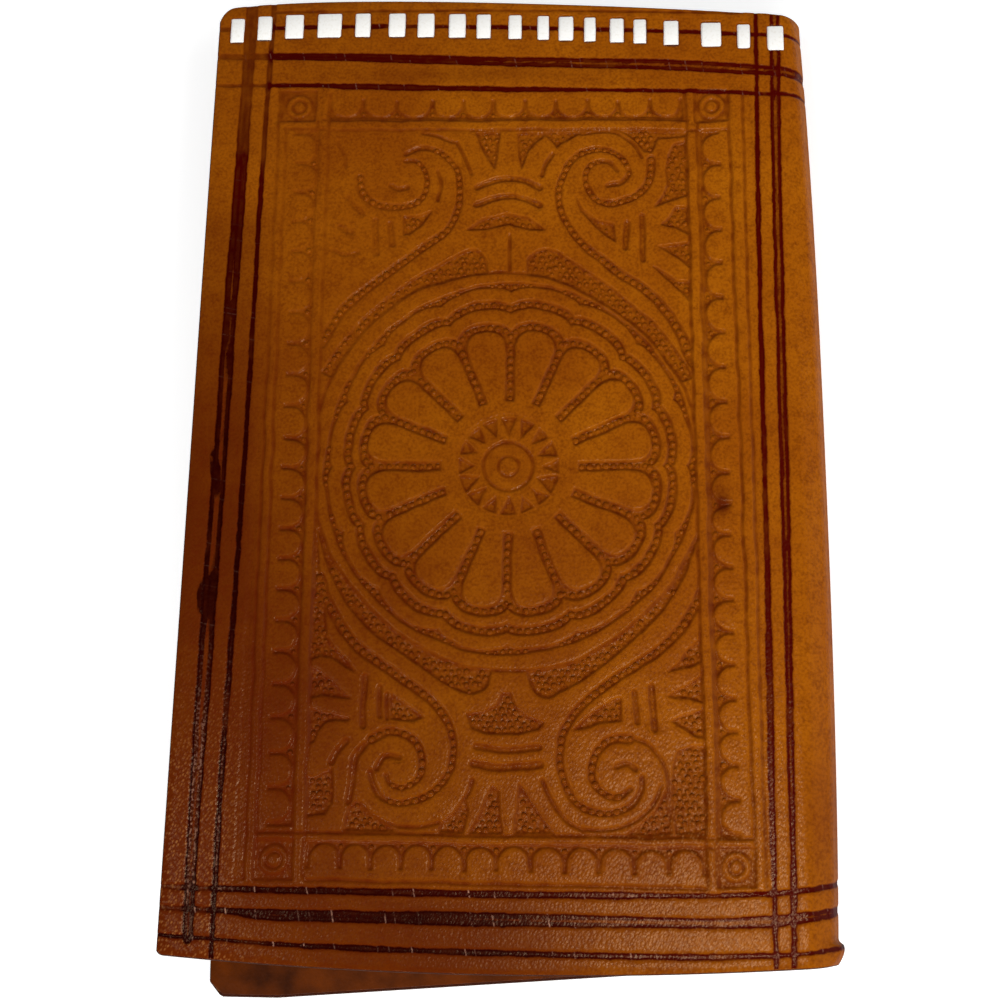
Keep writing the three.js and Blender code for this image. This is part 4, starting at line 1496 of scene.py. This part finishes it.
# Round seeds of uneven size, set on the points of a row or of a field
def setSeeds(tree, given, points):
    seed = addNode(tree, "GeometryNodeMeshUVSphere", {"Segments": 8, "Rings": 4, "Radius": 1.0})
    size = addNode(tree, "ShaderNodeCombineXYZ", {0: given["Radius"], 1: given["Radius"], 2: given["Height"]})
    uneven = addNode(tree, "FunctionNodeRandomValue", {"Min": 0.72, "Max": 1.12, "Seed": 5}, 1,
                     data_type="FLOAT")
    size = addNode(tree, "ShaderNodeVectorMath", {0: size, "Scale": uneven}, operation="SCALE")
    seeds = addNode(tree, "GeometryNodeInstanceOnPoints", {"Points": points, "Instance": seed, "Scale": size})
    return endTree(tree, given, seeds)


def seedRowTree():
    tree, given = newTree("seedRow", ("Spacing", "Radius", "Height", "Material"))
    row = addNode(tree, "GeometryNodeMeshToCurve", {0: given["Path"]})
    row = addNode(tree, "GeometryNodeResampleCurve", {"Curve": row, "Length": given["Spacing"]},
                  mode="LENGTH")
    return setSeeds(tree, given, row)


def seedFieldTree():
    tree, given = newTree("seedField", ("Radius", "Height", "Material"))
    return setSeeds(tree, given, given["Path"])


# A flat strip swept along its woven path
def thongTree():
    tree, given = newTree("wovenThong", ("Width", "Thickness", "Bend", "Material"))
    path = addNode(tree, "GeometryNodeMeshToCurve", {0: given["Path"]})
    path = addNode(tree, "GeometryNodeFilletCurve", {"Curve": path, "Radius": given["Bend"], "Count": 3},
                   mode="POLY")
    path = addNode(tree, "GeometryNodeSetCurveNormal", {"Curve": path, "Normal": (0, 1, 0)}, mode="FREE")
    size = {"Width": given["Width"], "Height": given["Thickness"]}
    strip = addNode(tree, "GeometryNodeCurvePrimitiveQuadrilateral", size)
    soft = addNode(tree, "ShaderNodeMath", {0: given["Thickness"], 1: 0.3}, operation="MULTIPLY")
    strip = addNode(tree, "GeometryNodeFilletCurve", {"Curve": strip, "Radius": soft, "Count": 2},
                    mode="POLY")
    swept = addNode(tree, "GeometryNodeCurveToMesh",
                    {"Curve": path, "Profile Curve": strip, "Fill Caps": True})
    return endTree(tree, given, swept)


# Saddle stitches along a seam
def threadTree():
    tree, given = newTree("saddleStitch", ("Pitch", "Length", "Thickness", "Material"))
    seam = addNode(tree, "GeometryNodeMeshToCurve", {0: given["Path"]})
    seam = addNode(tree, "GeometryNodeResampleCurve", {"Curve": seam, "Length": given["Pitch"]},
                   mode="LENGTH")
    points = addNode(tree, "GeometryNodeCurveToPoints", {"Curve": seam}, "Points", mode="EVALUATED")
    stitch = addNode(tree, "GeometryNodeMeshUVSphere", {"Segments": 8, "Rings": 6, "Radius": 0.5})
    size = addNode(tree, "ShaderNodeCombineXYZ", {
        0: given["Thickness"], 1: given["Thickness"], 2: given["Length"]})
    sewn = addNode(tree, "GeometryNodeInstanceOnPoints", {
        "Points": points, "Instance": stitch, "Rotation": points.node.outputs["Rotation"], "Scale": size})
    return endTree(tree, given, sewn)


def grown(name, tree, paths, sizes, material, loose=False):
    points, edges, count = [], [], 0
    for path in paths:
        n = len(path)
        points.append(path)
        edges += [] if loose else [(count + i, count + i + 1) for i in range(n - 1)]
        count += n
    placed = (np.vstack(points) + layShift) * mm
    mesh = bpy.data.meshes.new(name + "_path")
    mesh.from_pydata(placed.tolist(), edges, [])
    seed = bpy.data.objects.new(name + "_path", mesh)
    scene.collection.objects.link(seed)
    modifier = seed.modifiers.new("grow", "NODES")
    modifier.node_group = tree
    for item in tree.interface.items_tree:
        if item.in_out == "INPUT" and item.name in sizes:
            modifier[item.identifier] = sizes[item.name] * mm
        if item.in_out == "INPUT" and item.name == "Material":
            modifier[item.identifier] = material
    seed.update_tag()
    depsgraph = bpy.context.evaluated_depsgraph_get()
    made = bpy.data.meshes.new_from_object(seed.evaluated_get(depsgraph))
    made.name = name
    seed.modifiers.clear()
    bpy.data.objects.remove(seed)
    piece = bpy.data.objects.new(name, made)
    scene.collection.objects.link(piece)
    return piece


outerHide = {"depth": 0.0, "thick": wallet["leather"], "inset": 0.0}
print("tooling the front")
frontHalf = {
    "tooling": toolFront(), "side": 1, "free": frontFree, "top": frontTop, "bottom": frontBottom,
    "step": 0.21, "seed": 11, "wave": 1.0, **outerHide,
}
print("tooling the back")
backHalf = {
    "tooling": toolBack(), "side": -1, "free": backFree, "top": backTop, "bottom": backBottom,
    "step": 0.45, "seed": 23, "wave": 0.0, **outerHide,
}
for half in (frontHalf, backHalf):
    half["relief"] = hideRelief(half)


# How much darker the hide is painted, all over towards the free edge and the mouth and in patches, partly as
# painted shade where the light falls off and partly for handling: strength, and from where to where it sets
# in along x and y
darkPatches = {
    "freeEdge": (0.25, (-38, -46), (48, 40)),
    "mouth": (0.3, (40, 0), (-72, -77)),
    "corner": (0.2, (-30, -42), (-45, -70)),
    "fold": (0.28, (47.5, 50.5), (-40, -70)),
}
# Dark smudges: middle, half widths, strength
smudges = [
    ((37.3, -10.6), (1.1, 1.7), 1.0), ((36.6, -8.6), (1.6, 2.4), 0.4), ((56.5, -81.2), (1.6, 0.8), 1.0),
    ((-6, 70.6), (24, 1.6), 0.3),
]


# painted darkening: partly painted shade of the light falling off towards the left and bottom, partly
# handling and stains
def handledAndShadedShare(x, y):
    share = np.clip((44 - x) / 80, 0, 1) * (0.33 + 0.65 * ramp(y, 56, -54))
    for strength, alongX, alongY in darkPatches.values():
        share = share + strength * ramp(x, *alongX) * ramp(y, *alongY)
    for (cx, cy), (wide, high), strength in smudges:
        share = share + strength * np.exp(-(((x - cx) / wide) ** 2) - ((y - cy) / high) ** 2)
    return np.clip(share, 0, 1)


# Where the grain's tips are painted pale as glints, a painted highlight, and the paint is worn off its
# ridges: the two lower corners
def wornGlintShare(x, y):
    left = ramp(x, -40.5, -44.5) * ramp(y, -28, -64) + 0.7 * ramp(x, -30, -42) * ramp(y, -78, -83)
    right = ramp(x, 10, 28) * ramp(y, -44, -70) * ramp(x, 49.5, 46.5)
    return np.clip(np.maximum(left, right), 0, 1)


# puts on each vertex its painted darkening (partly painted shade), how rubbed it is, and where its grain is
# painted with glints
def addWearAndPaintedLight(piece, side):
    points = np.zeros(len(piece.data.vertices) * 3)
    piece.data.vertices.foreach_get("co", points)
    x, y = unrolled(points.reshape(-1, 3) / mm - layShift, side)
    for name, share in (("patinaAndShade", handledAndShadedShare), ("rubbed", rubbedShare), ("wornGlint", wornGlintShare)):
        layer = piece.data.attributes.new(name, "FLOAT", "POINT")
        layer.data.foreach_set("value", share(x, y).astype(np.float32))


hide = makeTooledHide()
print("cutting the hide")
frontHide = hideHalf("front_hide", frontHalf, hide, 190000)
backHide = hideHalf("back_hide", backHalf, hide, 60000)
for piece, half, body in ((frontHide, frontHalf, "front"), (backHide, backHalf, "back")):
    addWearAndPaintedLight(piece, half["side"])
    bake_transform(piece)
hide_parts("front_cover", "spine_cover")
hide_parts("back_cover")

# Seeds along the rosette's channels and rings, the scrolls and the crescents, all over the sunk ground, and
# one in each gap between lobes
beads = {
    "front_seeds": {"spacing": 1.35, "radius": 0.62, "height": 0.33},
    "front_seeds_fine": {"spacing": 1.15, "radius": 0.48, "height": 0.3},
    "front_seeds_ground": {"spacing": 1.2, "radius": 0.5, "height": 0.28},
    "sunk": 0.03,
    "inCut": -0.5,  # how deep in the sunk ground they count for the wax
    "inField": -0.4,  # how far inside the field's edge
    "channelEnds": (0.5, 1.4),  # bare at either end of a channel
    "cuspReach": 0.26,
    "scrollShare": 0.85,  # of a groove's length
    "gapShare": 0.85,  # how far out in the gap between lobes
}
beadGround = {
    "x": (-33, 35), "y": (-66, 61), "rows": 0.87, "uneven": 0.2,
    "cut": -0.42, "stipple": 0.2, "outside": 27,
}


def onFront(path, lift):
    strayX, strayY = strayed(path[:, 0], path[:, 1])
    x, y = path[:, 0] - strayX, path[:, 1] - strayY
    return rolled(x, y, frontHalf["relief"](x, y) + lift, 1)


def insideField(path):
    gap = signedDistance(np.array(field["corners"]), path[:, 0], path[:, 1])
    return path[gap < beads["inField"]]


def roundRosette(r, angle):
    return np.array(rosette["centre"]) + np.stack([r * np.cos(angle), r * np.sin(angle)], 1)


def seedRows():
    coarse, fine = [], []
    spoke = 2 * math.pi / rosette["petals"]
    start, end = beads["channelEnds"]
    for k in range(rosette["petals"]):
        r = np.linspace(rosette["channelStart"] + start, rosette["inner"][0] - end, 30)
        coarse.append(roundRosette(r, k * spoke))
    angle = np.linspace(0, 2 * math.pi, 480, endpoint=False)
    for name in ("inner", "middle"):
        coarse.append(roundRosette(ringRadius(rosette[name], angle), angle))
    # the last groove has room for seeds only at its cusps
    for k in range(rosette["petals"]):
        angle = (k + np.linspace(-beads["cuspReach"], beads["cuspReach"], 14)) * spoke
        r = (ringRadius(rosette["outer"], angle) + ringRadius(rosette["outerEdge"], angle)) / 2
        fine.append(insideField(roundRosette(r, angle)))
    for scroll in scrolls.values():
        for groove in (scroll["long"], scroll["short"]):
            row = insideField(curveThrough(groove))
            coarse.append(row[:int(beads["scrollShare"] * len(row))])
    return coarse, fine


def groundSeeds():
    tooling, uneven = frontHalf["tooling"], beadGround["uneven"]
    pitch = beads["front_seeds_ground"]["spacing"]
    rng = np.random.default_rng(31)
    columns = np.arange(*beadGround["x"], pitch)
    rows = np.arange(*beadGround["y"], pitch * beadGround["rows"])
    x, y = np.meshgrid(columns, rows, indexing="ij")
    x = x + pitch / 2 * (np.arange(x.shape[1]) % 2)
    x = x.ravel() + rng.uniform(-uneven, uneven, x.size)
    y = y.ravel() + rng.uniform(-uneven, uneven, y.size)
    radius, _ = polar(x, y)
    sunk = sampled(tooling, "cut", x, y) < beadGround["cut"]
    stippled = sampled(tooling, "stipple", x, y) > beadGround["stipple"]
    points = [np.stack([x, y], 1)[sunk & stippled & (radius > beadGround["outside"])]]
    for row in lobeRows.values():
        k = np.arange(1, row["count"][-1])
        t = np.interp(k, row["count"], row["run"])
        o = np.interp(k, (0, row["count"][-1]), row["base"]) + row["out"] * beads["gapShare"]
        points.append(np.stack([t, o] if row["along"] == 0 else [o, t], 1))
    return np.vstack(points)


print("setting the seeds")
coarseRows, fineRows = seedRows()
for name, tree, rows in (("front_seeds", seedRowTree(), coarseRows),
                         ("front_seeds_fine", seedRowTree(), fineRows),
                         ("front_seeds_ground", seedFieldTree(), [groundSeeds()])):
    seed = beads[name]
    rows = [onFront(row, -beads["sunk"]) for row in rows if len(row) > 2]
    sizes = {"Spacing": seed["spacing"], "Radius": seed["radius"], "Height": seed["height"]}
    piece = grown(name, tree, rows, sizes, hide, loose=name == "front_seeds_ground")
    for key, value in (("cut", beads["inCut"]), ("paint", farOff)):
        layer = piece.data.attributes.new(key, "FLOAT", "POINT")
        layer.data.foreach_set("value", np.full(len(piece.data.vertices), value, np.float32))
    addWearAndPaintedLight(piece, 1)
    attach(piece, "front")

# Linings, one skin for each half, meeting round the spine
print("lining")
lining = {"depth": 1.9, "thick": 0.3, "inset": 0.5, "step": 1.2}
skiver = makePlainLeather("skiverSplit", skiverSplit)
for half, body, nodes in ((frontHalf, "front", ("front_lining", "spine_lining")),
                          (backHalf, "back", ("back_lining",))):
    skin = dict(half, tooling=None, relief=lambda x, y: np.full(x.shape, -lining["depth"]), **lining)
    piece = hideHalf(body + "_lining_skin", skin, skiver, 7000)
    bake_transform(piece)
    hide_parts(*nodes)

# Inner panels and pockets
panels = {
    "inset": 0.6, "spineEdge": 46.4, "depth": 2.8, "leather": 0.6,
    "weltDepth": 2.5, "weltWidth": 3.0, "lacedWelt": 9.5, "weltUp": 6, "weltTurn": 70, "weltCorner": 76,
}
pockets = {
    "left": -44.0, "right": 44.0, "top": 72.0, "corner": 5.0, "notch": 9.0, "leather": 0.5,
    "weltWidth": 3.0, "weltInset": 0.2, "weltUp": 1, "weltCut": 2,
    "front_pass_pocket": {"body": "front", "depth": 4.0, "weltDepth": 3.7, "mouth": -24.0},
    "back_card_pocket_rear": {"body": "back", "depth": 4.0, "weltDepth": 3.7, "mouth": 2.0},
    "back_card_pocket_front": {"body": "back", "depth": 4.8, "weltDepth": 4.8, "mouth": 17.0},
}


def heightAt(half, depth):
    return wallet["foldRadius"] + half["side"] * (wallet["foldRadius"] - depth)


def arc(cx, cy, r, start, end, steps=12):
    angle = np.radians(np.linspace(start, end, steps))
    return np.stack([cx + r * np.cos(angle), cy + r * np.sin(angle)], 1)


def panelOutline(half):
    inset, right = panels["inset"], panels["spineEdge"]
    if half["side"] > 0:
        low = wallet["freeEdge"] + inset
        under = np.linspace(low, right, 24)
        over = np.concatenate([[low], low + np.array([0.9, 2.4]), np.linspace(low + 5, right, 22)])
        return np.vstack([np.stack([under, half["bottom"](under) + inset], 1),
                          np.stack([over, half["top"](over) - inset], 1)[::-1]])
    corners = [backCut["chamferHigh"], backCut["chamferLow"], backCut["lowest"]]
    left = [(x + inset, y + inset * (k > 0)) for k, (x, y) in enumerate(corners)]
    top = (backCut["topLeft"][0] + inset, backCut["topLeft"][1] - inset)
    return np.array(left + [(right, float(half["bottom"](np.array(right))) + inset),
                            (right, float(half["top"](np.array(right))) - inset), top])


def weltOutline(outline, half):
    inset, wide, laced = panels["inset"], panels["weltWidth"], panels["lacedWelt"]
    left, right = wallet["freeEdge"], panels["spineEdge"]
    edge = lambda y: float(half["free"](np.array((y - backCut["chamferHigh"][1]) / backRise))) + inset
    topAt = lambda x: float(half["top"](np.array(x)))
    low = float(outline[:, 1].min()) + panels["weltUp"]
    corner = left + panels["weltUp"]
    return np.array([
        (edge(low), low), (edge(low) + wide, low), (edge(panels["weltTurn"]) + wide, topAt(left) - laced),
        (right, topAt(right) - laced), (right, topAt(right) - inset), (corner, topAt(corner) - inset),
        (edge(panels["weltCorner"]), panels["weltCorner"]),
    ])


def pocketOutline(mouth):
    left, right, top, c, n = (pockets[k] for k in ("left", "right", "top", "corner", "notch"))
    middle = (left + right) / 2
    return np.vstack([
        [(left, mouth)], [(middle - n, mouth)], arc(middle, mouth, n, 160, 20, 20), [(middle + n, mouth)],
        [(right, mouth)], arc(right - c, top - c, c, 0, 90), arc(left + c, top - c, c, 90, 180),
    ])


def pocketWelt(mouth):
    left, right, top, wide, edge = (pockets[k] for k in ("left", "right", "top", "weltWidth", "weltInset"))
    low, cut = mouth + pockets["weltUp"], pockets["weltCut"]
    return np.array([
        (left + edge, low), (left + wide, low), (left + wide, top - wide), (right - wide, top - wide),
        (right - wide, low), (right - edge, low), (right - edge, top - cut), (right - cut, top - edge),
        (left + cut, top - edge), (left + edge, top - cut),
    ])


print("inner panels and pockets")
calf = makePlainLeather("innerCalf", innerCalf)
thread = makePlainLeather("linenThread", linenThread)
halves = {"front": frontHalf, "back": backHalf}
for body, half in halves.items():
    outline = densified(panelOutline(half), 5)
    face, under = heightAt(half, panels["depth"] + panels["leather"]), heightAt(half, panels["depth"])
    shells = [sheetShell(outline, face, under, body == "front")]  # the back's strip is plain
    welt = densified(weltOutline(outline, half), 2)
    shells.append(sheetShell(welt, under, heightAt(half, panels["weltDepth"]), False))
    piece = sheetPiece(body + "_panel", shells, calf)
    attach(piece, body)
    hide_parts(body + "_bill_panel")

sewing = {"pitch": 3.0, "length": 2.3, "thickness": 0.5, "fromEdge": 2.6, "fromMouth": 1.5}
sewTree = threadTree()
for node, pocket in pockets.items():
    if not isinstance(pocket, dict):
        continue
    half = halves[pocket["body"]]
    outline = densified(pocketOutline(pocket["mouth"]), 5)
    under, face = heightAt(half, pocket["depth"]), heightAt(half, pocket["depth"] + pockets["leather"])
    shells = [sheetShell(outline, face, under, True)]
    if pocket["weltDepth"] < pocket["depth"]:
        welt = densified(pocketWelt(pocket["mouth"]), 2)
        shells.append(sheetShell(welt, under, heightAt(half, pocket["weltDepth"]), False))
    piece = sheetPiece(node + "_sheet", shells, calf)
    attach(piece, pocket["body"])
    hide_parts(node)
    g, low = sewing["fromEdge"], pocket["mouth"] + sewing["fromMouth"]
    left, right, top = pockets["left"] + g, pockets["right"] - g, pockets["top"] - g
    c = pockets["corner"] - g
    seam = np.vstack([[(left, low)], arc(left + c, top - c, c, 180, 90), arc(right - c, top - c, c, 90, 0),
                      [(right, low)]])
    seam = np.column_stack([seam, np.full(len(seam), face)])
    sizes = {"Pitch": sewing["pitch"], "Length": sewing["length"], "Thickness": sewing["thickness"]}
    sewn = grown(node + "_stitching", sewTree, [seam], sizes, thread)
    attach(sewn, pocket["body"])

# The white thong, in at one slit and out at the next
print("lacing")
thong = makeWhiteThong()
weaveTree = thongTree()
for body, half in halves.items():
    t = lace["thick"] / 2
    outer, inner = heightAt(half, lace["sunk"] + t), heightAt(half, lace["innerDepth"] + t)
    path = []
    for middle, length in lace["stitches"]:
        row = float(half["top"](np.array(middle))) - lace["fromEdge"]
        a, b = middle - length / 2 + t, middle + length / 2 - t
        path += [(a, row, inner), (a, row, outer), (b, row, outer), (b, row, inner)]
    first, last = path[0], path[-1]
    path = [(first[0] - lace["tail"],) + first[1:]] + path + [(last[0] + lace["tail"],) + last[1:]]
    sizes = {"Width": lace["width"], "Thickness": lace["thick"], "Bend": lace["bend"]}
    piece = grown(body + "_thong", weaveTree, [np.array(path)], sizes, thong)
    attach(piece, body)
    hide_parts(body + "_lace")

# Stage, camera and light
camera = {"place": (12.7, -67.7, 244.7), "turn": (13.95, 2.97, 0.79), "lens": 51.3, "sensor": 36}
stage = {"size": 4.0, "white": "#ffffff", "lift": 0.25}
lamps = {
    "key": {"place": (0.13, -0.135, 0.85), "size": 0.08, "power": 2.6},
    "right": {"place": (0.75, -0.1, 0.5), "size": 0.8, "power": 3.2},
    "left": {"place": (-0.35, -0.13, 0.85), "size": 0.08, "power": 0.9},
    "front": {"place": (-0.1, -0.8, 0.45), "size": 0.05, "wide": 2.0, "power": 9.0},
}
surroundings = 0.1


def makeStage():
    mesh = bpy.data.meshes.new("floor")
    s = stage["size"] / 2
    mesh.from_pydata([(-s, -s, 0), (s, -s, 0), (s, s, 0), (-s, s, 0)], [], [(0, 1, 2, 3)])
    floor = bpy.data.objects.new("floor", mesh)
    scene.collection.objects.link(floor)
    material, tree = newMaterial("whitePaper")
    paper = addNode(tree, "ShaderNodeBsdfDiffuse", {"Color": linear(stage["white"])})
    seen = addNode(tree, "ShaderNodeLightPath", give="Is Camera Ray")
    lift = addNode(tree, "ShaderNodeMath", {0: seen, 1: stage["lift"]}, operation="MULTIPLY")
    glow = addNode(tree, "ShaderNodeEmission", {"Strength": lift})
    both = addNode(tree, "ShaderNodeAddShader", {0: paper, 1: glow})
    addNode(tree, "ShaderNodeOutputMaterial", {0: both})
    mesh.materials.append(material)


def makeCamera():
    data = bpy.data.cameras.new("camera")
    data.lens = camera["lens"]
    data.sensor_width = camera["sensor"]
    data.clip_start = 0.01
    view = bpy.data.objects.new("camera", data)
    x, y, z = camera["place"]
    view.location = Vector((x, y + layOffset, z)) * mm
    view.rotation_euler = [math.radians(a) for a in camera["turn"]]
    scene.collection.objects.link(view)
    scene.camera = view


def makeLight():
    for name, lamp in lamps.items():
        data = bpy.data.lights.new(name, "AREA")
        data.shape = "RECTANGLE"
        data.size = lamp.get("wide", lamp["size"])
        data.size_y = lamp["size"]
        data.energy = lamp["power"]
        light = bpy.data.objects.new(name, data)
        light.location = lamp["place"]
        light.rotation_euler = (-Vector(lamp["place"])).to_track_quat("-Z", "Y").to_euler()
        scene.collection.objects.link(light)
    world = bpy.data.worlds.new("studio")
    world.use_nodes = True
    background = world.node_tree.nodes["Background"]
    background.inputs[0].default_value = (1, 1, 1, 1)
    background.inputs[1].default_value = surroundings
    scene.world = world


makeStage()
makeCamera()
makeLight()
print("dressed")
